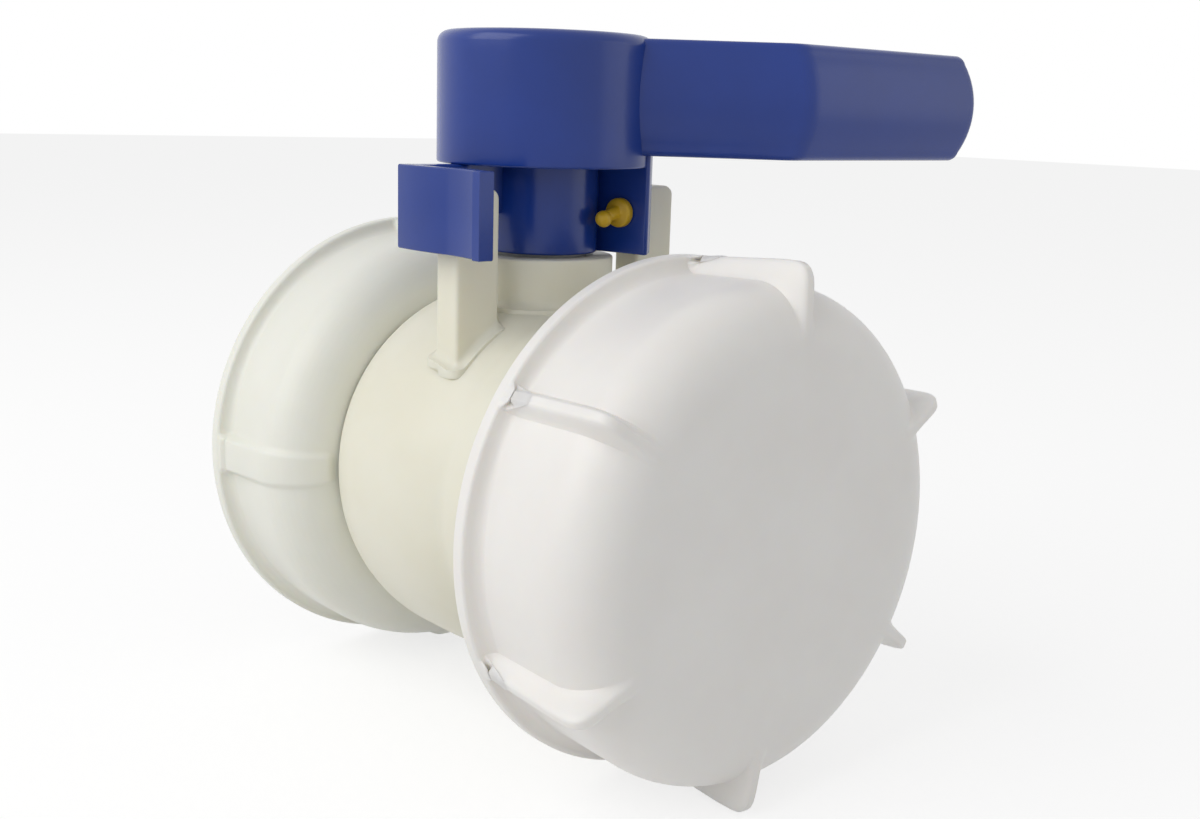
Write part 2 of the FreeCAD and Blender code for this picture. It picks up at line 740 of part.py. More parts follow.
# the lever: a crowned section swept along a path with one bend
path_z = (S["lever_bottom"] + S["lever_top"]) / 2
path_y = S["lever_thickness"] / 2 - S["lever_front"]
run_x = cosine(S["lever_angle"])
run_y = sine(S["lever_angle"])
root_x = run_x * S["lever_root"] - run_y * S["lever_offset"]
root_y = -(run_y * S["lever_root"]) - run_x * S["lever_offset"]
corner_x = root_x + (root_y - path_y) * run_x / run_y
set_back = S["lever_bend_radius"] * (1 - run_x) / run_y
path = new_sketch(body, "XY_Plane", "lever_path", lift=path_z)
path_points = [
    (S["lever_tip"], path_y),
    (corner_x + set_back, path_y),
    (corner_x - set_back * run_x, path_y + set_back * run_y),
    (root_x, root_y),
]
plain = [FreeCAD.Vector(x.value, y.value, 0) for x, y in path_points]
path.addGeometry(Part.LineSegment(plain[0], plain[1]), False)
path.addGeometry(arc_between(plain[1], plain[2], S["lever_bend_radius"].value, -1), False)
path.addGeometry(Part.LineSegment(plain[2], plain[3]), False)
arc_start = 1 if (path.getPoint(1, 1) - plain[1]).Length < 1e-6 else 2
path.addConstraint(Sketcher.Constraint("Coincident", 0, 2, 1, arc_start))
path.addConstraint(Sketcher.Constraint("Coincident", 1, 3 - arc_start, 2, 1))
for geometry, end, (x, y) in ((0, 1, path_points[0]), (0, 2, path_points[1]),
                              (2, 1, path_points[2]), (2, 2, path_points[3])):
    bind(path, Sketcher.Constraint("DistanceX", -1, 1, geometry, end, x.value), x)
    bind(path, Sketcher.Constraint("DistanceY", -1, 1, geometry, end, y.value), y)
bind(path, Sketcher.Constraint("Radius", 1, S["lever_bend_radius"].value), S["lever_bend_radius"])
section = new_sketch(body, "YZ_Plane", "lever_section", lift=S["lever_tip"])
edge = S["lever_edge_round"]
front_y = -S["lever_front"]
face_y = front_y + S["lever_crown"]
back_y = front_y + S["lever_thickness"]
span = (S["lever_top"] - S["lever_bottom"]) / 2 - edge
crown = (span * span + S["lever_crown"] * S["lever_crown"]) / (S["lever_crown"] * 2)
draw_loop(section, [
    (face_y, S["lever_top"] - edge, Arc(crown, 1)),
    (face_y, S["lever_bottom"] + edge, Arc(edge, 1)),
    (face_y + edge, S["lever_bottom"]),
    (back_y - edge, S["lever_bottom"], Arc(edge, 1)),
    (back_y, S["lever_bottom"] + edge),
    (back_y, S["lever_top"] - edge, Arc(edge, 1)),
    (back_y - edge, S["lever_top"]),
    (face_y + edge, S["lever_top"], Arc(edge, 1)),
])
lever = body.newObject("PartDesign::AdditivePipe", "lever")
lever.Profile = section
lever.Spine = (path, [])
finish_feature(body, lever, False)

# the lever's rounded tip
tip = new_sketch(body, "XZ_Plane", "tip_side")
bulge = S["lever_tip_round"]
tip_span = (S["lever_top"] - S["lever_bottom"]) / 2
tip_curve = (tip_span * tip_span + bulge * bulge) / (bulge * 2)
draw_loop(tip, [
    (S["lever_tip"] - bulge, S["lever_bottom"], Arc(tip_curve, 1)),
    (S["lever_tip"] - bulge, S["lever_top"]),
    (S["lever_tip"] - bulge, S["lever_top"] + over),
    (S["lever_tip"] + over, S["lever_top"] + over),
    (S["lever_tip"] + over, S["lever_bottom"] - over),
    (S["lever_tip"] - bulge, S["lever_bottom"] - over),
])
pocket(body, tip, S["lever_front"] * 3, "tip_round", symmetric=True)

# the hollows under the grip
hollow = new_sketch(body, "XY_Plane", "hollow_plan", lift=S["lever_bottom"] - over)
hollow_end = S["lever_tip"] - bulge - S["core_wall"]
for number in (0, 1):
    high = hollow_end - (S["core_length"] + S["core_web"]) * number
    draw_box(hollow, high - S["core_length"], high, face_y + S["core_wall"], back_y - S["core_wall"])
pocket(body, hollow, S["core_depth"] + over, "hollows", forward=True)

# the stop ear: one face meets the right wing, the other carries the locking pin
tilt_x = sine(S["pin_tilt"])
tilt_y = cosine(S["pin_tilt"])
stop_y = -(S["wing_front"] + S["turn_gap"])
ear_reach = tilt_y * S["wing_front"] + tilt_x * S["ear_root_x"] + tilt_y * S["turn_gap"]
ear_out = root(ear_reach * ear_reach + S["ear_radius"] * S["ear_radius"]
               - S["ear_root_x"] * S["ear_root_x"] - stop_y * stop_y) - ear_reach
ear = new_sketch(body, "XY_Plane", "ear_plan", lift=drum_bottom)
draw_loop(ear, [
    (S["ear_root_x"] - tilt_x * S["ear_overlap"], stop_y + tilt_y * S["ear_overlap"]),
    (S["ear_root_x"] + tilt_x * ear_out, stop_y - tilt_y * ear_out, Arc(S["ear_radius"], 1)),
    (root(S["ear_radius"] * S["ear_radius"] - stop_y * stop_y), stop_y),
    (S["wing_inner"] - S["drum_gap"], stop_y),
    (S["wing_inner"] - S["drum_gap"], stop_y + S["ear_shelf"]),
])
pad(body, ear, core_top - drum_bottom + over, "ear")
pin_x = S["ear_root_x"] + tilt_x * S["pin_run"]
pin_y = stop_y - tilt_y * S["pin_run"]
pin_turn = ((0, 0, 1), S["pin_tilt"] + 90)
pin_hole_radius = S["pin_shank_radius"] + S["running_gap"]
hole = new_sketch(body, "XY_Plane", "pin_hole_profile", lift=S["pin_height"], along=(pin_x, pin_y),
                  turn=pin_turn)
draw_box(hole, ZERO, pin_hole_radius, -(S["pin_shank_length"] + S["drum_gap"]), over)
pin_hole = body.newObject("PartDesign::Groove", "pin_hole")
pin_hole.Profile = hole
pin_hole.ReferenceAxis = (hole, ["V_Axis"])
pin_hole.Angle = 360
finish_feature(body, pin_hole, True)

# the spring tongue and the arm that carries it
tongue = new_sketch(body, "XY_Plane", "tongue_plan", lift=S["tongue_bottom"])
outer = -S["tongue_reach"]
inner = outer + S["tongue_thickness"]
rear_curve = S["tongue_rear_curve"]
front_curve = S["tongue_front_curve"]
sway = S["tongue_sway"]
draw_loop(tongue, [
    (outer, S["tongue_rear"], Arc(rear_curve, 1)),
    (outer + sway, -S["tongue_waist"], Arc(front_curve, -1)),
    (outer, -S["tongue_front"]),
    (outer - sway, -S["tongue_front"]),
    (outer - sway, -(S["tongue_front"] + S["tongue_lip"])),
    (inner, -(S["tongue_front"] + S["tongue_lip"])),
    (inner, -S["tongue_front"], Arc(front_curve, 1)),
    (inner + sway, -S["tongue_waist"], Arc(rear_curve, -1)),
    (inner, S["tongue_rear"]),
])
pad(body, tongue, S["hub_bottom"] - S["tongue_bottom"], "tongue")
arm = new_sketch(body, "XZ_Plane", "arm_side", lift=-S["tongue_rear"])
arm_end = outer + S["tongue_thickness"] / 2
draw_loop(arm, [
    (arm_end, S["tongue_bottom"] + S["arm_setback"]),
    (over - S["drum_radius"], S["tongue_bottom"] + S["arm_root_rise"]),
    (over - S["drum_radius"], S["hub_bottom"] + S["arm_gusset"]),
    (-(core_radius + over), S["hub_bottom"] + S["arm_gusset"]),
    (-(core_radius + over), S["hub_bottom"]),
    (arm_end, S["hub_bottom"]),
])
pad(body, arm, S["tongue_arm_thickness"], "arm")

# the square socket, the screw hole and the recess for the screw's head
socket = new_sketch(body, "XY_Plane", "socket_plan", lift=drum_bottom - over)
socket_half = square_half + S["slip_gap"]
draw_box(socket, -socket_half, socket_half, -socket_half, socket_half)
pocket(body, socket, web_bottom - drum_bottom + over, "socket", forward=True)
revolve(body, "XZ_Plane", "screw_recess", [
    (ZERO, web_bottom - over),
    (S["screw_hole_radius"], web_bottom - over),
    (S["screw_hole_radius"], web_top),
    (S["recess_radius"], web_top),
    (S["recess_radius"], S["hub_top"] + over),
    (ZERO, S["hub_top"] + over),
], cut=True)
keep(body)

# ---------------------------------------------------------------------------------------------------
# Handle screw and washer
# ---------------------------------------------------------------------------------------------------
body = new_body("handle_washer")
revolve(body, "XZ_Plane", "flat_washer_turn", [
    (S["screw_hole_radius"], web_top),
    (S["screw_washer_radius"], web_top),
    (S["screw_washer_radius"], washer_top),
    (S["screw_hole_radius"], washer_top),
])
keep(body)

body = new_body("handle_screw")
head_top = washer_top + S["screw_head_height"]
crown_span = S["screw_head_radius"]
crown_rise = S["screw_head_height"] / 2
head_curve = (crown_span * crown_span + crown_rise * crown_rise) / (crown_rise * 2)
revolve(body, "XZ_Plane", "screw_turn", [
    (ZERO, screw_tip),
    (S["screw_shank_radius"] / 2, screw_tip),
    (S["screw_shank_radius"], screw_tip + S["screw_point"]),
    (S["screw_shank_radius"], washer_top),
    (S["screw_head_radius"], washer_top),
    (S["screw_head_radius"], head_top - crown_rise, Arc(head_curve, 1)),
    (ZERO, head_top),
])
drive = new_sketch(body, "XY_Plane", "drive_plan", lift=head_top - S["screw_head_height"] * 0.6)
drive_half = S["screw_drive"] / 2
arm_half = S["screw_drive"] * 2
draw_loop(drive, [
    (-arm_half, -drive_half), (-drive_half, -drive_half), (-drive_half, -arm_half),
    (drive_half, -arm_half), (drive_half, -drive_half), (arm_half, -drive_half),
    (arm_half, drive_half), (drive_half, drive_half), (drive_half, arm_half),
    (-drive_half, arm_half), (-drive_half, drive_half), (-arm_half, drive_half),
])
pocket(body, drive, S["screw_head_height"], "drive", forward=True)
keep(body)

# ---------------------------------------------------------------------------------------------------
# Locking pin: shank in the ear, flange on its face, necked-down knob to pull
# ---------------------------------------------------------------------------------------------------
body = new_body("lock_pin")
pin = new_sketch(body, "XY_Plane", "pin_profile", lift=S["pin_height"], along=(pin_x, pin_y), turn=pin_turn)
base = S["running_gap"]
knob_centre = S["pin_knob_reach"] - S["pin_knob_radius"]
knob_dip = root(S["pin_knob_radius"] * S["pin_knob_radius"] - S["pin_neck_radius"] * S["pin_neck_radius"])
draw_loop(pin, [
    (ZERO, -S["pin_shank_length"]),
    (S["pin_shank_radius"], -S["pin_shank_length"]),
    (S["pin_shank_radius"], base),
    (S["pin_flange_radius"], base),
    (S["pin_flange_radius"], base + S["pin_flange_thickness"]),
    (S["pin_neck_radius"], base + S["pin_flange_thickness"]),
    (S["pin_neck_radius"], knob_centre - knob_dip, Arc(S["pin_knob_radius"], 1)),
    (ZERO, S["pin_knob_reach"]),
])
pin_turned = body.newObject("PartDesign::Revolution", "pin_turn")
pin_turned.Profile = pin
pin_turned.ReferenceAxis = (pin, ["V_Axis"])
pin_turned.Angle = 360
finish_feature(body, pin_turned, False)
keep(body)


# ---------------------------------------------------------------------------------------------------
# Union nut, its captive ring and the tank gasket
# ---------------------------------------------------------------------------------------------------
def grips(body, outline, width, count, angle, name):
    """Ribs round a hand-tightened shell, drawn in the radial plane at an angle from +X towards +Z."""
    sketch = new_sketch(body, "XY_Plane", name + "_side", turn=((0, 1, 0), -angle))
    draw_loop(sketch, outline)
    rib = pad(body, sketch, width, name + "_rib", symmetric=True)
    repeat_round(body, rib, (sketch, ["V_Axis"]), int(count.value), name)


body = new_body("union_nut")
cove = S["shell_cove"]
corner_radius = S["shell_corner"]
lip_end = S["nut_front"] + S["nut_lip"]
flange_low = S["nut_rim"] - S["rim_thickness"]
shoulder_low = S["nut_front"] + corner_radius
revolve(body, "XY_Plane", "nut_shell", [
    (S["nut_hole_radius"], S["nut_front"]),
    (S["shell_radius"] - corner_radius, S["nut_front"], Arc(corner_radius, 1)),
    (S["shell_radius"], shoulder_low),
    (S["shell_radius"], flange_low - cove, Arc(cove, -1)),
    (S["shell_radius"] + cove, flange_low),
    (S["rim_radius"], flange_low),
    (S["rim_radius"], S["nut_rim"]),
    (S["thread_wall_radius"], S["nut_rim"]),
    (S["thread_wall_radius"], thread_start),
    (S["nut_runout_radius"], thread_start),
    (S["nut_runout_radius"], lip_end),
    (S["nut_hole_radius"], lip_end),
])
grip_inset = S["shell_radius"] - S["grip_tail"]
wall_middle = (S["shell_radius"] + S["nut_runout_radius"]) / 2
nut_grip_top = S["shell_radius"] + S["nut_grip_height"]
grips(body, [
    (grip_inset, S["nut_front"], Arc(corner_radius + S["nut_grip_height"], 1)),
    (nut_grip_top, shoulder_low + S["nut_grip_height"]),
    (S["shell_radius"] + cove, flange_low + S["drum_gap"]),
    (wall_middle, flange_low + S["drum_gap"]),
    (S["nut_runout_radius"] + over, lip_end - S["nut_gap"]),
    (grip_inset, lip_end - over),
], S["nut_grip_width"], S["nut_grip_count"], ZERO, "nut_grips")
keep(body)

body = new_body("nut_retaining_ring")
ring_low = S["ring_groove_start"] + S["slip_gap"] / 2
ring_high = ring_low + S["ring_thickness"]
ring_radius = S["inlet_neck_radius"] + S["ring_proud"]
revolve(body, "XY_Plane", "split_ring", [
    (ring_floor + S["slip_gap"], ring_low),
    (ring_radius, ring_low),
    (ring_radius, ring_high),
    (ring_floor + S["slip_gap"], ring_high),
])
split = new_sketch(body, "XY_Plane", "split_plan")
draw_box(split, -S["ring_split"] / 2, S["ring_split"] / 2, ring_low - over, ring_high + over)
pocket(body, split, ring_radius + over, "split")
keep(body)

body = new_body("tank_gasket")
revolve(body, "XY_Plane", "gasket_turn", [
    (S["bore_radius"] + S["gasket_inset"], S["inlet_end"]),
    (S["inlet_neck_radius"] + S["gasket_proud"], S["inlet_end"]),
    (S["inlet_neck_radius"] + S["gasket_proud"], thread_start),
    (S["bore_radius"] + S["gasket_inset"], thread_start),
])
keep(body)

# ---------------------------------------------------------------------------------------------------
# Dust cap and its seal
# ---------------------------------------------------------------------------------------------------
body = new_body("dust_cap")
inner_fillet = S["cap_inner_fillet"]
wall_wide = S["shell_radius"] + S["shell_taper"]
wall_slim = S["shell_radius"] - S["shell_taper"]
cap_flange = S["cap_rim"] + S["rim_thickness"]
revolve(body, "XY_Plane", "cap_shell", [
    (ZERO, -S["cap_face"]),
    (wall_wide - corner_radius, -S["cap_face"], Arc(corner_radius, 1)),
    (wall_wide, corner_radius - S["cap_face"]),
    (wall_slim, -(cap_flange + cove), Arc(cove, -1)),
    (wall_slim + cove, -cap_flange),
    (S["rim_radius"], -cap_flange),
    (S["rim_radius"], -S["cap_rim"]),
    (S["thread_wall_radius"], -S["cap_rim"]),
    (S["thread_wall_radius"], inner_fillet - inside, Arc(inner_fillet, 1)),
    (S["thread_wall_radius"] - inner_fillet, -inside),
    (ZERO, -inside),
])
tip_radius = S["cap_grip_tip"]
tip_face = S["cap_face"] - S["cap_grip_drop"]
cap_grip_radius = S["rim_radius"] + S["cap_grip_proud"]
grips(body, [
    (grip_inset, -S["cap_face"]),
    (cap_grip_radius - tip_radius, -tip_face, Arc(tip_radius, 1)),
    (cap_grip_radius, tip_radius - tip_face),
    (wall_slim + cove, -(cap_flange - S["turn_gap"])),
    (wall_middle, -(cap_flange - S["turn_gap"])),
    (wall_middle, -(inside - over)),
    (S["thread_wall_radius"], -(inside + over)),
    (grip_inset, -(inside + over)),
], S["cap_grip_width"], S["cap_grip_count"], S["cap_grip_angle"], "cap_grips")
keep(body)
keep(ring("cap_seal", chamber_radius - S["drum_gap"], S["outlet_root_radius"] + S["cap_seal_overlap"], -inside,
          S["cap_seal_thickness"] - inside))

# ---------------------------------------------------------------------------------------------------
# Check every object and write one file per piece
# ---------------------------------------------------------------------------------------------------
doc.recompute()
for item in doc.Objects:
    trouble = [state for state in item.State if state in ("Invalid", "Error")]
    if trouble:
        raise RuntimeError(f"{item.Name}: {trouble}")
for label, body in bodies.items():
    shape = body.Shape
    if shape.isNull() or not shape.isValid() or len(shape.Solids) != 1:
        raise RuntimeError(f"{label}: the shape is not one valid solid")
    shape.exportStep(f"parts/{label}.step")
    box = shape.BoundBox
    print(f"{label:20s} x {box.XMin:7.2f} {box.XMax:7.2f}  y {box.YMin:7.2f} {box.YMax:7.2f}"
          f"  z {box.ZMin:7.2f} {box.ZMax:7.2f}  volume {shape.Volume:9.1f}")
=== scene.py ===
# %% [markdown]
# A ball valve for a bulk liquid container, dressed for the camera. The solids of the frame come first,
# because every surface below takes its place from them: the pipe runs along Y, the stem points up, and
# the outlet with its dust cap looks towards -Y.

# %% Load the frame
import json
import math

import bmesh
import bpy
import numpy as np
from mathutils import Matrix, Vector


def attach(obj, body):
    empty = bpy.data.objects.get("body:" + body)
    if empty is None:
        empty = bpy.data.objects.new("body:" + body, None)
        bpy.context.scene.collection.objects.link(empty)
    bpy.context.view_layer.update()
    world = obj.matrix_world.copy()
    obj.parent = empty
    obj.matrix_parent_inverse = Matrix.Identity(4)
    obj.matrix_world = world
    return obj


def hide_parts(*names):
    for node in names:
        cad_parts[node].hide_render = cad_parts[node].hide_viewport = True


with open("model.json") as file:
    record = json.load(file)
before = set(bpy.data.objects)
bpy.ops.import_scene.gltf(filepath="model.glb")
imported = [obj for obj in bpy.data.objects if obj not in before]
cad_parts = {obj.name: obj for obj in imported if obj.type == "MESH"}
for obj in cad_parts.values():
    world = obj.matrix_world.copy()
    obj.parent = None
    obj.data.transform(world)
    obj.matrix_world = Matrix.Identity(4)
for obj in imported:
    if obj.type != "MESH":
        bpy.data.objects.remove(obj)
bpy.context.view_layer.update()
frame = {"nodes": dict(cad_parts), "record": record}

# %% [markdown]
# Every piece is drawn as a flat line first: a profile to turn about the pipe or the stem, or a plan to
# carry upwards. Sharp corners look like paper, while a real moulding has a radius on each of them, so
# the first tool takes corners with their radii and gives the line with its arcs in place.

# %% Tools for flat lines
MM = 0.001          # sizes below are in millimetres, and the mesh is in metres
STEM_Y = -27.0      # the stem's axis crosses the pipe here


def unit(vectors):
    """Each vector divided by its own length."""
    return vectors / np.linalg.norm(vectors, axis=-1, keepdims=True)


def arc(centre, radius, start, end, count=24):
    """Points at centre + radius * (cos a, sin a), for angles a from start to end in degrees."""
    a = np.radians(np.linspace(start, end, count))
    return np.stack([centre[0] + radius * np.cos(a), centre[1] + radius * np.sin(a)], -1)


def plain(points):
    """A run of points as corners with no radius."""
    return [(x, y, 0.0) for x, y in points]


def rounded(corners, closed=True, turn=9.0):
    """The line through corners (x, y, radius). At each corner the two edges are cut back by
    radius / tan(half the corner's angle), and the arc that touches both fills the gap."""
    corners = [tuple(c) for c in corners]
    points = np.array([c[:2] for c in corners])
    before, after = np.roll(points, 1, 0), np.roll(points, -1, 0)
    line = []
    for i, (p, radius) in enumerate(zip(points, (c[2] for c in corners))):
        if radius <= 0 or (not closed and i in (0, len(points) - 1)):
            line.append(p[None])
            continue
        u, v = unit(before[i] - p), unit(after[i] - p)
        half = 0.5 * math.acos(float(np.clip(u @ v, -1, 1)))
        centre = p + unit(u + v) * radius / math.sin(half)
        first, last = (p + w * radius / math.tan(half) - centre for w in (u, v))
        begin = math.atan2(first[1], first[0])
        sweep = (math.atan2(last[1], last[0]) - begin + math.pi) % (2 * math.pi) - math.pi
        steps = max(3, math.ceil(abs(math.degrees(sweep)) / turn) + 1)
        line.append(arc(centre, radius, math.degrees(begin), math.degrees(begin + sweep), steps))
    return np.concatenate(line)


def refined(line, step, closed=True):
    """The same line with points added, so that no stretch is longer than step."""
    ends = np.roll(line, -1, 0) if closed else line[1:]
    starts = line if closed else line[:-1]
    lengths = np.linalg.norm(ends - starts, axis=1)
    parts = np.maximum(1, np.ceil(lengths / step - 1e-6)).astype(int)
    which = np.repeat(np.arange(len(parts)), parts)
    place = (np.arange(parts.sum()) - np.repeat(np.cumsum(parts) - parts, parts)) / parts[which]
    out = starts[which] + place[:, None] * (ends - starts)[which]
    return out if closed else np.concatenate([out, line[-1:]])


def outward(line):
    """Unit normals of a closed line, away from what it encloses: the mean way of the two edges at a
    point, turned a quarter turn, with the sign of the enclosed area."""
    ways = unit(np.roll(line, -1, 0) - line + 1e-12)
    mean = unit(ways + np.roll(ways, 1, 0) + 1e-12)
    x, y = line.T
    area = np.sum(x * np.roll(y, -1) - np.roll(x, -1) * y)
    return np.stack([mean[:, 1], -mean[:, 0]], -1) * np.sign(area)


def smooth_step(t):
    """0 below 0, 1 above 1, and 3t^2 - 2t^3 between."""
    t = np.clip(t, 0.0, 1.0)
    return t * t * (3 - 2 * t)


square = rounded([(0, 0, 2), (10, 0, 2), (10, 10, 2), (0, 10, 2)])
print("a 10 mm square with 2 mm corners has", len(square), "points")

# %% [markdown]
# A surface here is a grid of points: rows along a profile or a path, columns round it. One function
# turns any such grid into a closed mesh, fits flat plates on its ends where they are asked for, points
# the faces outwards by the sign of the enclosed volume, and puts the piece on its body of the frame.

# %% Tools for surfaces
def turned(radius, height, angle, about="pipe"):
    """A surface of revolution: the point at (radius, height) of the profile, at each angle round the
    pipe (cos to +X, sin to +Z) or round the stem (cos to +X, sin to +Y)."""
    rows = len(radius)
    radius = np.broadcast_to(np.asarray(radius, float).reshape(rows, -1), (rows, len(angle)))
    height = np.broadcast_to(np.asarray(height, float).reshape(rows, -1), (rows, len(angle)))
    across, up = radius * np.cos(angle), radius * np.sin(angle)
    if about == "pipe":
        return np.stack([across, height, up], -1)
    return np.stack([across, STEM_Y + up, height], -1)


def ring_angles(count, at=(), half=0.0, fine=0):
    """Angles of one turn in radians: an even spread, made finer within half of each angle in at."""
    even = np.arange(count) * 2 * np.pi / count
    if not len(at):
        return even
    at = np.asarray(at, float)
    away = np.abs((even[:, None] - at + np.pi) % (2 * np.pi) - np.pi).min(1)
    near = (at[:, None] + np.linspace(-half, half, fine)).ravel()
    return np.sort(np.concatenate([even[away > half * 1.05], near % (2 * np.pi)]))


def lattice(rows, columns, loop):
    """Corner numbers of the quads of a grid whose rows are rings, and that closes on itself if loop."""
    index = np.arange(rows * columns).reshape(rows, columns)
    low, high = (index, np.roll(index, -1, 0)) if loop else (index[:-1], index[1:])
    return np.stack([low, np.roll(low, -1, 1), np.roll(high, -1, 1), high], -1).reshape(-1, 4)


def enclosed(points, quads):
    """Six times the volume that the quads enclose: the sum of a . (b x c) over their triangles."""
    a, b, c, d = (points[quads[:, i]] for i in range(4))
    return np.sum(a * (np.cross(b, c) + np.cross(c, d)))


def piece(name, grid, body, finish, loop=False, plates=False, smooth=38.0):
    """Builds a mesh from a grid of points in millimetres and puts it on a body of the frame. Rows that
    shrink to a point or a line are welded there; plates closes the two ends with flat faces."""
    rows, columns = grid.shape[:2]
    points = grid.reshape(-1, 3)
    quads = lattice(rows, columns, loop)
    ends = []
    if plates:
        ends = [np.arange(columns)[::-1], np.arange(columns) + (rows - 1) * columns]
    hollow = enclosed(points, quads)
    for end in ends:
        fan = np.stack([np.full(columns - 2, end[0]), end[1:-1], end[2:], end[2:]], -1)
        hollow += enclosed(points, fan)
    if hollow < 0:
        quads, ends = quads[:, ::-1], [end[::-1] for end in ends]
    counts = np.array([4] * len(quads) + [len(end) for end in ends])
    mesh = bpy.data.meshes.new(name)
    mesh.vertices.add(len(points))
    mesh.vertices.foreach_set("co", (points * MM).ravel())
    mesh.loops.add(int(counts.sum()))
    mesh.loops.foreach_set("vertex_index", np.concatenate([quads.ravel(), *ends]).astype(np.int32))
    mesh.polygons.add(len(counts))
    mesh.polygons.foreach_set("loop_start", (np.cumsum(counts) - counts).astype(np.int32))
    mesh.update(calc_edges=True)
    return placed(name, mesh, body, finish, smooth)


def placed(name, mesh, body, finish, smooth=38.0):
    """Welds and shades a mesh, and makes it an object that rides on a body and wears a finish."""
    cloth = bmesh.new()
    cloth.from_mesh(mesh)
    bmesh.ops.remove_doubles(cloth, verts=cloth.verts, dist=0.002 * MM)
    bmesh.ops.dissolve_degenerate(cloth, edges=cloth.edges, dist=0.001 * MM)
    cloth.to_mesh(mesh)
    cloth.free()
    mesh.validate()
    mesh.polygons.foreach_set("use_smooth", np.ones(len(mesh.polygons), bool))
    mesh.set_sharp_from_angle(angle=math.radians(smooth))
    thing = bpy.data.objects.new(name, mesh)
    bpy.context.scene.collection.objects.link(thing)
    mesh.materials.append(finishes[finish])
    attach(thing, body)
    print(f"{name}: {len(mesh.polygons)} faces")
    return thing


# %% [markdown]
# The plastics come before the pieces, so that each piece can be dressed as it is made. A moulded skin
# is never one even colour: the melt leaves faint clouds, and the tool's surface leaves a fine grain.
# Both are noise in object space, built once as a node group and given their own numbers per plastic.

# %% Shader groups
def new_group(name, inputs, outputs):
    """An empty shader group with named sockets, each given as (name, kind, value)."""
    group = bpy.data.node_groups.new(name, "ShaderNodeTree")
    for label, kind, value in inputs:
        socket = group.interface.new_socket(label, in_out="INPUT", socket_type="NodeSocket" + kind)
        socket.default_value = value
    for label, kind in outputs:
        group.interface.new_socket(label, in_out="OUTPUT", socket_type="NodeSocket" + kind)
    return group, group.nodes.new("NodeGroupInput"), group.nodes.new("NodeGroupOutput")


def add(tree, kind, values=(), links=(), **settings):
    """One node, with its settings, its socket values, and links from other sockets into it."""
    node = tree.nodes.new("ShaderNode" + kind)
    for key, value in settings.items():
        setattr(node, key, value)
    for key, value in dict(values).items():
        node.inputs[key].default_value = value
    for key, source in dict(links).items():
        tree.links.new(source, node.inputs[key])
    return node


def maths(tree, operation, *terms):
    """A Math node on sockets or plain numbers."""
    node = add(tree, "Math", operation=operation)
    for i, term in enumerate(terms):
        if isinstance(term, (int, float)):
            node.inputs[i].default_value = term
        else:
            tree.links.new(term, node.inputs[i])
    return node.outputs[0]


def between(tree, value, low, high):
    """A smooth Map Range from low..high to 0..1."""
    return add(tree, "MapRange", {"From Min": low, "From Max": high}, {"Value": value},
               interpolation_type="SMOOTHSTEP").outputs[0]


def tint(tree, factor, first, second):
    """A colour Mix node between two colour sockets. Its colour sockets are its numbers 6 and 7."""
    return add(tree, "Mix", links={0: factor, 6: first, 7: second}, data_type="RGBA").outputs[2]


skin_group, given, result = new_group(
    "moulded_skin",
    [("Color", "Color", (0.8, 0.8, 0.8, 1)), ("Cloud Color", "Color", (0.7, 0.7, 0.7, 1)),
     ("Cloud Scale", "Float", 60.0), ("Cloud Amount", "Float", 0.5), ("Grain Scale", "Float", 1500.0),
     ("Roughness", "Float", 0.35), ("Roughness Spread", "Float", 0.08)],
    [("Color", "Color"), ("Roughness", "Float"), ("Height", "Float")])
asked = given.outputs
where = add(skin_group, "TexCoord").outputs["Object"]
cloud = add(skin_group, "TexNoise", {"Detail": 3.0, "Roughness": 0.55},
            {"Vector": where, "Scale": asked["Cloud Scale"]}).outputs[0]
grain = add(skin_group, "TexNoise", {"Detail": 2.0},
            {"Vector": where, "Scale": asked["Grain Scale"]}).outputs[0]
clouds = maths(skin_group, "MULTIPLY", between(skin_group, cloud, 0.3, 0.75), asked["Cloud Amount"])
uneven = maths(skin_group, "MULTIPLY", maths(skin_group, "SUBTRACT", grain, 0.5), asked["Roughness Spread"])
for label, value in (
        ("Color", tint(skin_group, clouds, asked["Color"], asked["Cloud Color"])),
        ("Roughness", maths(skin_group, "ADD", asked["Roughness"], uneven)),
        ("Height", maths(skin_group, "ADD", grain, maths(skin_group, "MULTIPLY", cloud, 2.0)))):
    skin_group.links.new(value, result.inputs[label])
print("group", skin_group.name)

# %% [markdown]
# Each real material gets its own numbers in that skin. The pale plastics let light wander a little under
# their surface, which softens their shade. The blue is deep and smooth, the seals are dull black rubber,
# and the screw is steel. A number that is the same all over a surface is set on the shader itself.

# %% Plastics, rubber and steel
finishes = {}


GRAIN_DEPTH = 0.0002                # how deep the grain looks, in metres
GLOW_DEPTH = 0.003                  # how far light wanders inside a pale plastic, in metres
GLOW_TINT = (1.0, 0.8, 0.55)        # red light goes furthest, so thin edges look warm


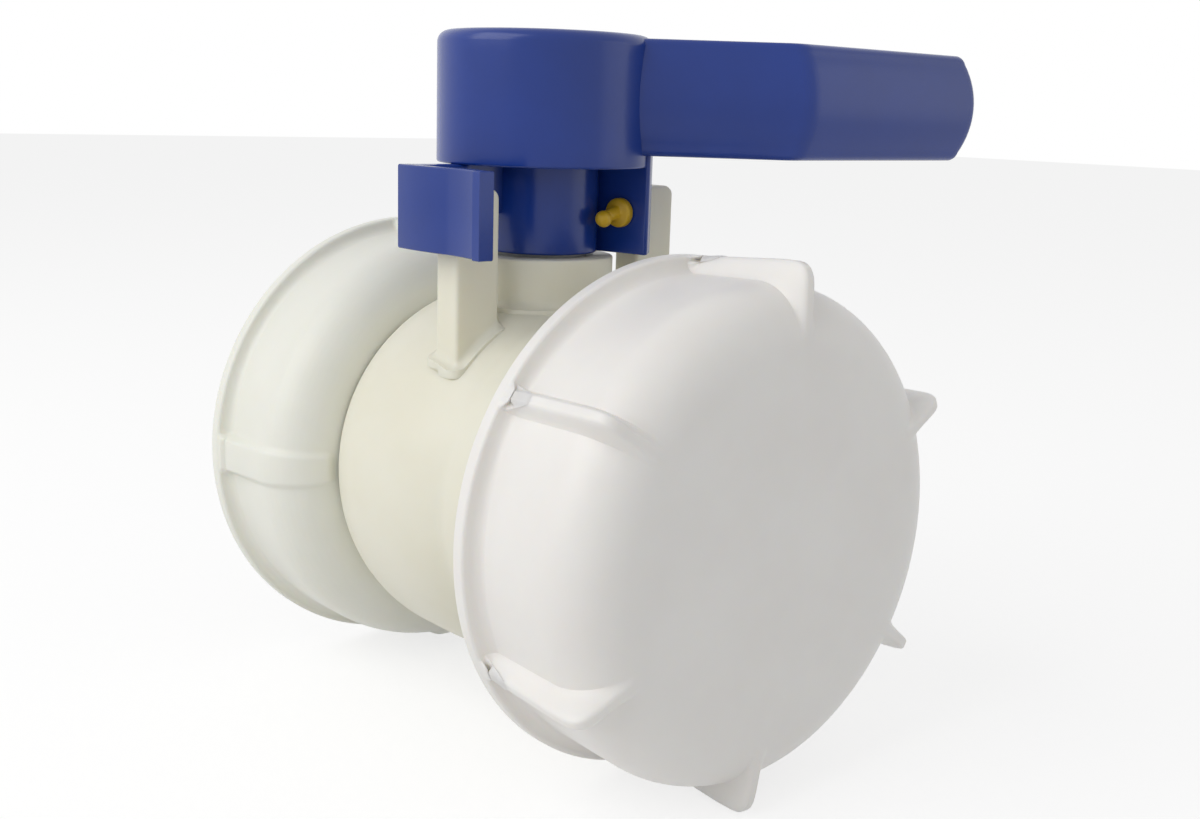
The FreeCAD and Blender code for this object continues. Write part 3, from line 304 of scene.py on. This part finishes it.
def moulded(name, color, cloud_color, roughness, bump=0.04, glow=0.0, shine=0.5, metal=0.0):
    """A material that wears the moulded skin: colour clouds, roughness that varies, and a fine grain."""
    material = bpy.data.materials.new(name)
    material.use_nodes = True
    tree = material.node_tree
    shader = tree.nodes["Principled BSDF"]
    group = add(tree, "Group", node_tree=skin_group)
    for key, value in (("Color", (*color, 1)), ("Cloud Color", (*cloud_color, 1)), ("Roughness", roughness)):
        group.inputs[key].default_value = value
    tree.links.new(group.outputs["Color"], shader.inputs["Base Color"])
    tree.links.new(group.outputs["Roughness"], shader.inputs["Roughness"])
    relief = add(tree, "Bump", {"Strength": bump, "Distance": GRAIN_DEPTH}, {"Height": group.outputs["Height"]})
    tree.links.new(relief.outputs[0], shader.inputs["Normal"])
    shader.inputs["Specular IOR Level"].default_value = shine
    shader.inputs["Metallic"].default_value = metal
    if glow:
        shader.inputs["Subsurface Weight"].default_value = glow
        shader.inputs["Subsurface Scale"].default_value = GLOW_DEPTH
        shader.inputs["Subsurface Radius"].default_value = GLOW_TINT
    finishes[name] = material


moulded("natural_plastic", (0.84, 0.82, 0.70), (0.78, 0.75, 0.60), 0.42, glow=0.25, bump=0.05)
moulded("nut_plastic", (0.87, 0.87, 0.80), (0.82, 0.82, 0.73), 0.40, glow=0.25, bump=0.05)
moulded("cap_plastic", (0.90, 0.88, 0.85), (0.84, 0.81, 0.78), 0.40, glow=0.25, bump=0.05)
moulded("ball_plastic", (0.80, 0.80, 0.78), (0.74, 0.74, 0.70), 0.25)
moulded("seat_plastic", (0.86, 0.86, 0.84), (0.80, 0.80, 0.78), 0.45)
moulded("stem_plastic", (0.55, 0.55, 0.53), (0.48, 0.48, 0.46), 0.40)
moulded("blue_plastic", (0.008, 0.040, 0.27), (0.006, 0.030, 0.20), 0.24, shine=0.45)
moulded("yellow_plastic", (0.62, 0.39, 0.012), (0.52, 0.31, 0.008), 0.38)
moulded("seal_rubber", (0.035, 0.035, 0.037), (0.05, 0.05, 0.05), 0.6)
moulded("screw_steel", (0.62, 0.62, 0.60), (0.50, 0.50, 0.49), 0.28, metal=1.0)
slot_of = {row["node"]: row["material_slot"] for row in frame["record"]["subparts"] if "material_slot" in row}
print("finishes", sorted(finishes))

# %% [markdown]
# The valve body is one moulding: the outlet pipe with its coarse thread, the round housing of the ball,
# and the neck that the union nut turns on. Its surface is a profile turned about the pipe. The thread
# is real relief: the radius also follows a helix that climbs one pitch in each turn.

# %% Body shell
PITCH = 6.0             # the coarse thread climbs this far in each turn
THREAD_RISE = 2.7       # height of the thread
HOUSING = 29.6          # radius of the ball housing
SHOULDER = 18.0         # radius of the arc from the housing to the neck
CHAMBER = 24.5          # radius of the space inside


def helix(height, angle, phase=0.0):
    """How far the thread stands out, from 0 to 1, at each height along the pipe and angle round it.
    The distance to the crest is that of height / pitch + angle / turn from a whole number, because a
    right-hand thread comes towards -Y as the angle goes from +X to +Z."""
    turns = height / PITCH + angle / (2 * np.pi) + phase
    away = np.abs((turns + 0.5) % 1.0 - 0.5)
    return smooth_step((0.245 - away) / 0.155)


def body_radius(y):
    """Radius of the housing at a distance y from the ball's centre: a sphere on the outlet side, then a
    short barrel, then the shoulder's arc."""
    ball = np.sqrt(np.maximum(HOUSING ** 2 - np.minimum(y, 0.0) ** 2, 0))
    shoulder = 11.6 + np.sqrt(np.maximum(SHOULDER ** 2 - np.maximum(y - 7.0, 0.0) ** 2, 0))
    return np.minimum(ball, shoulder)


ball_arc = arc((0.0, STEM_Y), HOUSING, math.degrees(math.asin(-11.68 / HOUSING)), 0.0, 20)
shoulder_arc = arc((11.6, -20.0), SHOULDER, 0.0, math.degrees(math.asin(0.6)), 16)
chamber_arc = arc((0.0, STEM_Y), CHAMBER, math.degrees(math.asin(9.218 / CHAMBER)), 0.0, 12)
shell_line = rounded(
    [(26.2, -76.2, 0.3), (27.2, -75.2, 0.3)] + plain(ball_arc) + plain(shoulder_arc)
    + [(24.8, -9.2, 0.0), (24.8, -5.9, 0.0), (23.2, -5.9, 0.0), (23.2, -3.9, 0.0), (24.8, -3.9, 0.0),
       (24.8, -2.6, 0.3), (18.0, -2.6, 0.3), (18.0, -9.34, 0.0), (22.7, -9.34, 0.0)]
    + plain(chamber_arc) + [(CHAMBER, -76.2, 0.3)])
shell_line = refined(shell_line, 0.34)
keep_fine = (shell_line[:, 1] < -48.0) & (shell_line[:, 0] > 25.0)
thin_out = keep_fine | (np.arange(len(shell_line)) % 4 == 0) | (np.abs(shell_line[:, 1] + 6.0) < 3.6)
shell_line = shell_line[thin_out]
turn = ring_angles(300)
outside = (shell_line[:, 0] > 26.9) & (shell_line[:, 1] < -45.0)
run_in = smooth_step((shell_line[:, 1] + 75.6) / 2.0)
run_out = smooth_step((-52.0 - shell_line[:, 1]) / 2.0)
fade = run_in * run_out * outside
rise = THREAD_RISE * fade[:, None] * helix(shell_line[:, 1:2], turn)
shell = piece("body_shell", turned(shell_line[:, :1] + rise, shell_line[:, 1], turn),
              "valve", "natural_plastic", loop=True)
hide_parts("valve_body")

# %% [markdown]
# The neck tower and the two stop wings stand on the housing. Each is a plan carried upwards. Where a
# wall meets the housing, the tool has a radius: the plan swells by a quarter circle, and the height it
# starts from is that of the housing under each point, so the foot follows the round surface.

# %% Tower and wings
FOOT = 1.4          # radius of the fillet at the foot
SUNK = 1.2          # how far the foot reaches into the housing


def housing_top(plan):
    """Height of the housing over each point of a plan: the square root of radius^2 - x^2."""
    return np.sqrt(np.maximum(body_radius(plan[:, 1] - STEM_Y) ** 2 - plan[:, 0] ** 2, 1.0))


def stand(plan, top, rows=26):
    """Rows of points up a wall with a flared foot. The flare is FOOT * (1 - sqrt(1 - (1 - q)^2)), with q
    the height above the housing in units of FOOT."""
    foot = housing_top(plan)
    normal = outward(plan)
    share = np.concatenate([[-SUNK], np.linspace(0, 1, 9) ** 1.5 * FOOT])[:, None]
    low = foot + share
    high = low[-1] + (top - low[-1]) * np.linspace(0, 1, rows)[1:, None]
    height = np.concatenate([low, high])
    q = np.clip((height - foot) / FOOT, 0, 1)
    swell = FOOT * (1 - np.sqrt(1 - (1 - q) ** 2))
    flat = plan + normal * swell[..., None]
    return np.concatenate([flat, height[..., None]], -1)


TOWER, TOWER_TOP = 11.2, 34.8       # radius and height of the neck tower
circle = np.arange(96) * 2 * np.pi / 96
tower_plan = np.stack([TOWER * np.cos(circle), STEM_Y + TOWER * np.sin(circle)], -1)
tower_wall = stand(tower_plan, 34.4, rows=8)
tower_line = rounded([(TOWER, 34.4, 0), (TOWER, TOWER_TOP, 0.35), (7.0, TOWER_TOP, 0.3), (7.0, 28.0, 0.0),
                      (9.3, 28.0, 0.0), (9.3, 26.0, 0.0)], closed=False)
tower_inside = turned(*tower_line[1:].T, circle, "stem")
piece("body_tower", np.concatenate([tower_wall, tower_inside]), "valve", "natural_plastic", loop=True)


WING_IN, WING_OUT = 13.7, 21.3      # a wing stands between these distances from the stem, along X
WING_FRONT, WING_BACK, WING_MIDDLE, WING_TOP = -34.2, -29.0, -31.6, 45.4
END_ROUND, EDGE_ROUND = 1.7, 0.5


def wing(name, side):
    """A stop wing: a rounded plan carried up to a top whose two ends are rounded by 1.7 mm, and whose
    long edges are rounded by 0.5 mm; the last row folds onto the middle line and is welded."""
    corners = [(x, y, 0.55) for x, y in ((WING_IN, WING_FRONT), (WING_OUT, WING_FRONT),
                                         (WING_OUT, WING_BACK), (WING_IN, WING_BACK))]
    plan = refined(rounded(corners, turn=15), 0.4)
    gap = np.minimum(plan[:, 0] - WING_IN, WING_OUT - plan[:, 0])
    drop = np.sqrt(np.maximum(END_ROUND ** 2 - np.maximum(END_ROUND - gap, 0) ** 2, 0))
    top = WING_TOP - END_ROUND + drop
    wall = stand(plan, top - EDGE_ROUND)
    a = np.radians(np.linspace(0, 90, 6))[1:, None]
    normal = outward(plan)
    crown_plan = plan - normal * EDGE_ROUND * (1 - np.cos(a))[..., None]
    crown_top = (top - EDGE_ROUND + EDGE_ROUND * np.sin(a))[..., None]
    crown = np.concatenate([crown_plan, np.broadcast_to(crown_top, (5, len(plan), 1))], -1)
    fold = np.repeat(crown[-1:], 2, 0)
    fold[0, :, 1] = WING_MIDDLE + (fold[0, :, 1] - WING_MIDDLE) * 0.85
    fold[1, :, 1] = WING_MIDDLE
    base = wall[:1].copy()
    base[0, :, 1] = WING_MIDDLE
    grid = np.concatenate([base, wall, crown, fold])
    grid[..., 0] *= side
    return piece(name, grid, "valve", "natural_plastic")


wing("body_wing_left", -1)
wing("body_wing_right", 1)

# %% [markdown]
# The union nut and the dust cap are shells with grip ribs. A rib is not stuck on: the shell's own
# surface swells there. Its side view is the crest line, and the swelling at a point of the profile is
# how far the normal goes to reach that line; across the rib it follows a smooth hump.

# %% Ribs on a shell
def reach(line, normal, crest, limit=9.0):
    """Distance from each point along its normal to the crest line, or 0 where the normal misses it.
    For a segment from a along d, the distance is cross(a - p, d) / cross(n, d)."""
    a, d = crest[:-1], np.diff(crest, axis=0)
    off = a - line[:, None]
    n = normal[:, None]
    below = n[..., 0] * d[:, 1] - n[..., 1] * d[:, 0]
    below = np.where(np.abs(below) < 1e-9, 1e-9, below)
    far = (off[..., 0] * d[:, 1] - off[..., 1] * d[:, 0]) / below
    along = (off[..., 0] * n[..., 1] - off[..., 1] * n[..., 0]) / below
    hit = (along >= -1e-6) & (along <= 1 + 1e-6) & (far > 0) & (far < limit)
    far = np.where(hit, far, limit).min(1)
    return np.where(far < limit, far, 0.0)


def hump(angle, centres, radius, top, base):
    """1 within top mm of a rib's middle line, 0 beyond base mm, and a smooth step between."""
    away = np.abs((angle[:, None] - centres + np.pi) % (2 * np.pi) - np.pi).min(1) * radius
    return 1 - smooth_step((away - top) / (base - top))


def evened(values, times):
    """Values along a closed line, each replaced by the mean of itself and its neighbours, times over."""
    for _ in range(times):
        values = (np.roll(values, 1) + values * 2 + np.roll(values, -1)) / 4
    return values


def swollen(line, normal, swell, angle):
    """The turned surface of a line whose points are moved along their normals by swell."""
    moved = line[:, None] + normal[:, None] * swell[..., None]
    return turned(moved[..., 0], moved[..., 1], angle)


# %% [markdown]
# The union nut clamps the valve to the container, and turns freely on the neck. It could be a plain ring
# with blocks on it, but a moulded nut is one skin. So its whole section, inside and out, is one closed
# line turned about the pipe, with four broad grip ribs outside and the coarse thread inside.

# %% Union nut
nut_line = refined(rounded([
    (25.2, -8.8, 0.5), (35.4, -8.8, 8.2), (35.4, 9.8, 1.6), (37.5, 9.8, 0.5), (37.5, 12.2, 0.7),
    (30.6, 12.2, 0.6), (30.6, 0.0, 0.2), (31.2, 0.0, 0.2), (31.2, -6.2, 0.3), (25.2, -6.2, 0.4)], turn=8), 0.42)
nut_crest = np.concatenate([[(37.35, 10.0)], [(36.9, 7.0)], [(36.1, 0.1)],
                            arc((27.2, -0.6), 8.9, 4.0, -88.0, 24)])
nut_ribs = np.arange(4) * np.pi / 2
nut_turn = ring_angles(200, nut_ribs, 4.6 / 36, 29)
nut_normal = outward(nut_line)
nut_height = evened(reach(nut_line, nut_normal, nut_crest), 3)[:, None]
swell = nut_height * hump(nut_turn, nut_ribs, 36.0, 2.3, 3.5)
inner = (nut_line[:, 0] < 30.7) & (nut_line[:, 1] > 0.2)
run_in = smooth_step((nut_line[:, 1] - 0.4) / 1.6)
run_out = smooth_step((11.9 - nut_line[:, 1]) / 1.6)
thread_fade = run_in * run_out * inner
swell = swell + THREAD_RISE * thread_fade[:, None] * helix(nut_line[:, 1:2], nut_turn, 0.5)
nut = piece("nut_shell", swollen(nut_line, nut_normal, swell, nut_turn), "union_nut", "nut_plastic", loop=True)
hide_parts("union_nut")

# %% [markdown]
# The dust cap closes the outlet. It is a deep cup with a round shoulder, a rim, and six narrow ribs that
# start on the rim and end on the face. Its section starts and ends on the axis, so the surface closes
# there in a single point, and the same swelling makes its ribs and its thread.

# %% Dust cap
cap_line = refined(rounded([
    (0.0, -80.2, 0.0), (35.8, -80.2, 8.2), (35.0, -58.5, 1.6), (37.5, -58.5, 0.5), (37.5, -56.1, 0.7),
    (30.6, -56.1, 0.6), (30.6, -77.9, 2.4), (0.0, -77.9, 0.0)], closed=False, turn=6), 0.42, closed=False)
thin_face = (cap_line[:, 0] > 26.0) | (np.arange(len(cap_line)) % 4 == 0) | (cap_line[:, 0] < 1e-6)
cap_line = cap_line[thin_face]
cap_crest = np.concatenate([[(37.45, -57.9)], [(38.55, -74.0)],
                            rounded([(38.6, -76.0, 0), (38.6, -79.3, 2.4), (28.6, -80.25, 0)], closed=False)])
cap_ribs = np.radians(25.5 + 60 * np.arange(6))
cap_turn = ring_angles(216, cap_ribs, 2.9 / 36, 25)
cap_normal = outward(cap_line)
cap_height = evened(reach(cap_line, cap_normal, cap_crest), 2)[:, None]
cap_swell = cap_height * hump(cap_turn, cap_ribs, 36.5, 0.55, 2.0)
inner = (cap_line[:, 0] < 30.7) & (cap_line[:, 0] > 30.0) & (cap_line[:, 1] > -75.4)
run_in = smooth_step((cap_line[:, 1] + 75.4) / 1.6)
run_out = smooth_step((-57.0 - cap_line[:, 1]) / 1.6)
thread_fade = run_in * run_out * inner
cap_swell = cap_swell + THREAD_RISE * thread_fade[:, None] * helix(cap_line[:, 1:2], cap_turn, 0.5)
cap = piece("cap_shell", swollen(cap_line, cap_normal, cap_swell, cap_turn), "dust_cap", "cap_plastic")
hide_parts("dust_cap")

# %% [markdown]
# The handle is one blue moulding. Its hub is a cup that opens downwards over a drum, and the drum has a
# square socket for the stem. The square is part of the same turned surface: on its rows the radius is
# half the square's side divided by the larger of |cos| and |sin|.

# %% Hub and drum
hub_line = rounded([
    (6.0, 35.3, 0.0), (8.7, 35.3, 0.35), (8.7, 64.6, 0.8), (14.0, 64.6, 0.8),
    (14.0, 48.5, 0.4), (16.4, 48.5, 0.4), (16.4, 68.0, 1.8), (6.4, 68.0, 0.6),
    (6.4, 57.7, 0.3), (2.3, 57.7, 0.2), (2.3, 54.3, 0.0), (6.0, 54.3, 0.0)])
hub_line = refined(hub_line, 1.6)
hub_turn = ring_angles(128)
hub_radius = np.repeat(hub_line[:, :1], len(hub_turn), 1)
square = 4.59 / np.maximum(np.abs(np.cos(hub_turn)), np.abs(np.sin(hub_turn)))
on_square = (np.abs(hub_line[:, 0] - 6.0) < 0.01) & (hub_line[:, 1] < 54.4)
hub_radius[on_square] = square
hub = piece("handle_hub", turned(hub_radius, hub_line[:, 1], hub_turn, "stem"), "handle", "blue_plastic",
            loop=True)
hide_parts("handle")


# %% [markdown]
# Ribs, ear, tongue and arm are flat plates with softened edges. Near each face, the outline is drawn in
# by edge * (1 - sin a) where it has risen by edge * (1 - cos a), which rounds the edge over a quarter
# turn, and one more row a little further in keeps the flat face flat when it is shaded.

# %% Plates with soft edges
def plate(outline, low, high, edge=0.4, way="up", steps=4):
    """Rows of a soft-edged plate. The outline lies in X and Y and goes up, or in X and Z and goes back."""
    normal = outward(outline)
    a = np.radians(np.linspace(0, 90, steps + 1))
    away, rise = edge * (1 - np.sin(a)), edge * (1 - np.cos(a))
    inset = np.concatenate([[edge * 1.9], away, away[::-1], [edge * 1.9]])
    lift = np.concatenate([[low], low + rise, high - rise[::-1], [high]])
    flat = outline - normal * inset[:, None, None]
    grid = np.concatenate([flat, np.broadcast_to(lift[:, None, None], flat.shape[:2] + (1,))], -1)
    return grid if way == "up" else grid[..., [0, 2, 1]]


def bowed(start, end, radius, side, count=12):
    """Points of the short arc of a radius from start to end, bulging right (+1) or left (-1) of its way."""
    start, end = np.array(start, float), np.array(end, float)
    chord = end - start
    half = np.linalg.norm(chord) / 2
    across = np.array([chord[1], -chord[0]]) / (2 * half) * side
    centre = (start + end) / 2 - across * math.sqrt(radius ** 2 - half ** 2)
    first, last = (math.degrees(math.atan2(*(p - centre)[::-1])) for p in (start, end))
    sweep = (last - first + 180) % 360 - 180
    return arc(centre, radius, first, first + sweep, count)


for number in range(6):
    a = math.radians(60 * number)
    outline = np.array([(8.4, -0.8), (14.3, -0.8), (14.3, 0.8), (8.4, 0.8)])
    spin = np.array([(math.cos(a), math.sin(a)), (-math.sin(a), math.cos(a))])
    piece(f"hub_rib_{number}", plate(refined(outline, 0.8) @ spin + (0, STEM_Y), 49.5, 65.2, 0.25),
          "handle", "blue_plastic", plates=True)

ear_outer = np.degrees(np.arctan2([-14.126, -7.5], [9.278, 15.144]))
ear_line = np.concatenate([[(6.889, -4.095)], arc((0, 0), 16.9, ear_outer[0], ear_outer[1], 10),
                           [(13.2, -7.5), (13.2, -5.3)]]) + (0, STEM_Y)
ear_line = refined(rounded([(x, y, 0.45 if i in (1, 10) else 0.0) for i, (x, y) in enumerate(ear_line)],
                           turn=15), 1.0)
piece("handle_ear", plate(ear_line, 35.3, 65.6, 0.35), "handle", "blue_plastic", plates=True)

tongue_line = np.concatenate([
    bowed((-25.0, 2.4), (-24.4, -9.0), 40.0, 1), bowed((-24.4, -9.0), (-25.0, -16.6), 30.0, -1)[1:],
    [(-25.6, -16.6), (-25.6, -18.2), (-23.2, -18.2)],
    bowed((-23.2, -16.6), (-22.6, -9.0), 30.0, 1), bowed((-22.6, -9.0), (-23.2, 2.4), 40.0, -1)[1:]])
tongue_line = refined(tongue_line + (0, STEM_Y), 0.8)
piece("handle_tongue", plate(tongue_line, 36.4, 48.5, 0.3), "handle", "blue_plastic", plates=True)
arm_line = rounded([(-24.1, 38.4, 0.4), (-7.7, 41.4, 0.0), (-7.7, 52.5, 0.0), (-15.0, 52.5, 0.0),
                    (-15.0, 48.5, 0.6), (-24.1, 48.5, 0.4)])
piece("handle_arm", plate(refined(arm_line, 1.0), -28.0, -24.6, 0.4, "back"), "handle", "blue_plastic",
      plates=True)

# %% [markdown]
# The lever is a crowned section carried along a path with one bend. A plain sweep would give the outside
# of the bend a large radius, while the real lever has a crisp crease there. So every line of the section
# gets its own path: the two runs moved sideways by that line's offset, with a corner radius of its own.

# %% Lever
LEVER_LOW, LEVER_HIGH = 50.4, 67.5
root = np.array([1.417, -7.335])
run_angle = math.radians(42.5)
run = np.array([math.cos(run_angle), -math.sin(run_angle)])
corner = np.array([root[0] + (root[1] + 28.1) * run[0] / -run[1], -28.1])
side = np.array([run[1], -run[0]])       # the front side of the first run


def lever_path(offset, tip, stations=(14, 12, 22)):
    """Points along the lever for each offset from its middle line: start to crease, arc, crease to tip.
    The corner of a moved path lies at corner + offset * (tan(half the bend), -1) in the second run's
    own directions, and its arc has a radius of 3.4 + 0.4 * offset."""
    offset = np.asarray(offset, float)[:, None]
    half = run_angle / 2
    knee = corner + offset * np.array([math.tan(half), -1.0])
    begin = root + offset * side
    radius = 3.4 + 0.4 * offset
    back = radius * math.tan(half)
    enter, leave = knee - run * back, knee + np.array([1.0, 0.0]) * back
    centre = leave + np.array([0.0, 1.0]) * radius
    a = np.radians(-90) - run_angle + run_angle * np.linspace(0, 1, stations[1])[:, None, None]
    bend = centre + radius * np.concatenate([np.cos(a), np.sin(a)], -1)
    t = np.linspace(0, 1, stations[0], endpoint=False)[:, None, None]
    first = begin + (enter - begin) * t
    end = np.stack([tip, leave[:, 1]], -1)
    t = np.linspace(0, 1, stations[2])[1:, None, None]
    return np.concatenate([first, bend, leave + (end - leave) * t])


def crowned():
    """The section as (offset to the front, height): a front face that bulges by 1.5 mm on an arc, and
    four edges rounded by 1.2 mm."""
    soft, front, back = 1.2, 1.1, -2.6
    low, high = LEVER_LOW + soft, LEVER_HIGH - soft
    return np.concatenate([
        bowed((front + soft, high), (front + soft, low), 19.46, -1, 17),
        arc((front, low), soft, 0, -90, 6)[1:], arc((back, low), soft, -90, -180, 6),
        arc((back, high), soft, 180, 90, 6), arc((front, high), soft, 90, 0, 6)[:-1]])


section = refined(crowned(), 1.3)
tip_curve = (8.55 ** 2 + 2.2 ** 2) / (2 * 2.2)
mid_height = (LEVER_LOW + LEVER_HIGH) / 2
tip_x = 67.2 - tip_curve + np.sqrt(tip_curve ** 2 - (section[:, 1] - mid_height) ** 2)
lever_rows = lever_path(section[:, 0], tip_x)
lever_heights = np.broadcast_to(section[:, 1][None, :, None], lever_rows.shape[:2] + (1,))
lever_grid = np.concatenate([lever_rows + (0, STEM_Y), lever_heights], -1)
TIP_EDGE = 0.9
inward = lever_grid[-1].mean(0) - lever_grid[-1]
inward[:, 0] = 0
inward = unit(inward + 1e-9)
tip_rows = []
for a in np.radians((30, 60, 90)):
    row = lever_grid[-1] + inward * TIP_EDGE * (1 - math.cos(a))
    row[:, 0] += TIP_EDGE * (math.sin(a) - 1)
    tip_rows.append(row)
base_row = lever_grid[-1].copy()
base_row[:, 0] -= TIP_EDGE
flat_row = tip_rows[-1] + inward * 0.8
lever_grid = np.concatenate([lever_grid[:-1], base_row[None], np.array(tip_rows), flat_row[None]])
piece("handle_lever", lever_grid, "handle", "blue_plastic", plates=True)

# %% [markdown]
# The locking pin is soft yellow plastic: a shank pressed into the ear, a round flange, and a pull knob
# on a thin neck that droops a little. It is a line of radii carried along a curved middle line: at each
# station a circle stands square to the way the line goes.

# %% Locking pin
def tube(middle, radius, columns=32):
    """Circles of each radius round each point of the middle line, square to its direction."""
    way = unit(np.gradient(middle, axis=0))
    across = unit(np.cross(way, (0.0, 0.0, 1.0)))
    over = np.cross(across, way)
    a = np.arange(columns) * 2 * np.pi / columns
    return (middle[:, None] + radius[:, None, None]
            * (across[:, None] * np.cos(a)[:, None] + over[:, None] * np.sin(a)[:, None]))


PIN_WAY = np.array([-0.9728, -0.2317, 0.0])
PIN_START = np.array([8.163, STEM_Y - 9.446, 41.6])
knob = plain(arc((5.2, 0.0), 1.3, 140, 0, 12))
pin_line = rounded([(-4.4, 0.0, 0), (-4.4, 1.5, 0.3), (0.05, 1.5, 0.0), (0.05, 2.25, 0.3),
                    (1.35, 2.25, 0.5), (1.75, 1.0, 0.3), (4.1, 0.95, 0.5)] + knob, closed=False)
pin_line = refined(pin_line, 0.35, closed=False)
along = pin_line[:, 0] + np.linspace(0, 1e-3, len(pin_line))
droop = np.maximum(along - 1.0, 0)
sag = np.array([0, 0, -0.045]) * (droop ** 2)[:, None]
middle = PIN_START + PIN_WAY * (along - 0.02 * droop ** 2)[:, None] + sag
pin = piece("pull_pin", tube(middle, pin_line[:, 1]), "lock_pin", "yellow_plastic", smooth=50)
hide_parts("lock_pin")

# %% [markdown]
# The hidden working parts keep their solids and get their plastics, so that the valve is right inside
# too when the cap comes off.

# %% Working parts
for node, slot in slot_of.items():
    cells = frame["nodes"][node].data.materials
    cells.clear()
    cells.append(finishes[slot])
print(len(slot_of), "solids dressed")

# %% [markdown]
# The picture is taken from the left, a little above the pipe. A large soft lamp stands at the upper
# left, and a weak one in front and to the right keeps that side from going dark. The camera's place and
# its turn, tilt and lean are given as numbers, and its three axes are worked out from those.

# %% Camera and lamps
theta, pitch, roll = 0.727367, 0.218123, 0.0320458      # turn, tilt and lean of the camera, in radians
forward = Vector((math.sin(theta) * math.cos(pitch), math.cos(theta) * math.cos(pitch), -math.sin(pitch)))
level = Vector((math.cos(theta), -math.sin(theta), 0.0))
above = level.cross(forward)
right = level * math.cos(roll) + above * math.sin(roll)
up = above * math.cos(roll) - level * math.sin(roll)
lens = bpy.data.cameras.new("camera")
lens.sensor_width, lens.lens, lens.shift_y = 36.0, 41.78, 0.0058
lens.clip_start, lens.clip_end = 0.01, 50.0
camera = bpy.data.objects.new("camera", lens)
bpy.context.scene.collection.objects.link(camera)
axes = Matrix((right, up, -forward)).transposed().to_4x4()
camera.matrix_world = Matrix.Translation((-0.1379, -0.1970, 0.0573)) @ axes
bpy.context.scene.camera = camera


def lamp(name, way, distance, size, power):
    """A square area lamp that looks at the valve from a direction."""
    data = bpy.data.lights.new(name, "AREA")
    data.shape, data.size, data.energy = "SQUARE", size, power
    thing = bpy.data.objects.new(name, data)
    target = Vector((0, -0.035, 0.015))
    way = Vector(way).normalized()
    facing = way.to_track_quat("Z", "Y").to_matrix().to_4x4()
    thing.matrix_world = Matrix.Translation(target + way * distance) @ facing
    bpy.context.scene.collection.objects.link(thing)


def backdrop_seen(tree):
    """1 for rays that should meet a white backdrop: those of the camera, of gloss and of glass."""
    path = add(tree, "LightPath").outputs
    return maths(tree, "MAXIMUM", path["Is Camera Ray"],
                 maths(tree, "MAXIMUM", path["Is Glossy Ray"], path["Is Transmission Ray"]))


lamp("window", (-0.85, 0.15, 0.62), 0.7, 0.6, 2.4)
lamp("fill", (0.65, -0.73, 0.15), 0.8, 0.5, 0.35)

# %% [markdown]
# The floor is one pale sheet, and the world behind it is white. The camera and the gloss of the plastics
# see a bright backdrop, while the light that falls on the valve stays at a plain level. Light Path tells
# the two kinds of ray apart, and the floor keeps the soft shadow.

# %% Floor and world
REACH, LEVEL = 3.0, -0.0387         # half the floor's width, and its height, in metres
floor_mesh = bpy.data.meshes.new("floor")
corners = [(x * REACH, y * REACH, LEVEL) for x, y in ((-1, -1), (1, -1), (1, 1), (-1, 1))]
floor_mesh.from_pydata(corners, [], [(0, 1, 2, 3)])
floor = bpy.data.objects.new("floor", floor_mesh)
bpy.context.scene.collection.objects.link(floor)
paper = bpy.data.materials.new("paper")
paper.use_nodes = True
tree = paper.node_tree
tree.nodes.remove(tree.nodes["Principled BSDF"])
matt = add(tree, "BsdfDiffuse", {"Color": (0.85, 0.85, 0.85, 1)})
half_matt = add(tree, "BsdfDiffuse", {"Color": (0.35, 0.35, 0.35, 1)})
light = add(tree, "Emission", {"Color": (1, 1, 1, 1), "Strength": 0.72})
lit = add(tree, "AddShader", links={0: half_matt.outputs[0], 1: light.outputs[0]})
both = add(tree, "MixShader", links={0: backdrop_seen(tree), 1: matt.outputs[0], 2: lit.outputs[0]})
tree.links.new(both.outputs[0], tree.nodes["Material Output"].inputs["Surface"])
floor_mesh.materials.append(paper)

world = bpy.data.worlds.new("studio")
world.use_nodes = True
bpy.context.scene.world = world
tree = world.node_tree
background = tree.nodes["Background"].inputs
background["Color"].default_value = (1, 1, 1, 1)
brightness = maths(tree, "ADD", 0.5, maths(tree, "MULTIPLY", backdrop_seen(tree), 0.5))
tree.links.new(brightness, background["Strength"])
bpy.context.scene.view_settings.view_transform = "Standard"
print("camera at", tuple(round(v, 4) for v in camera.location))
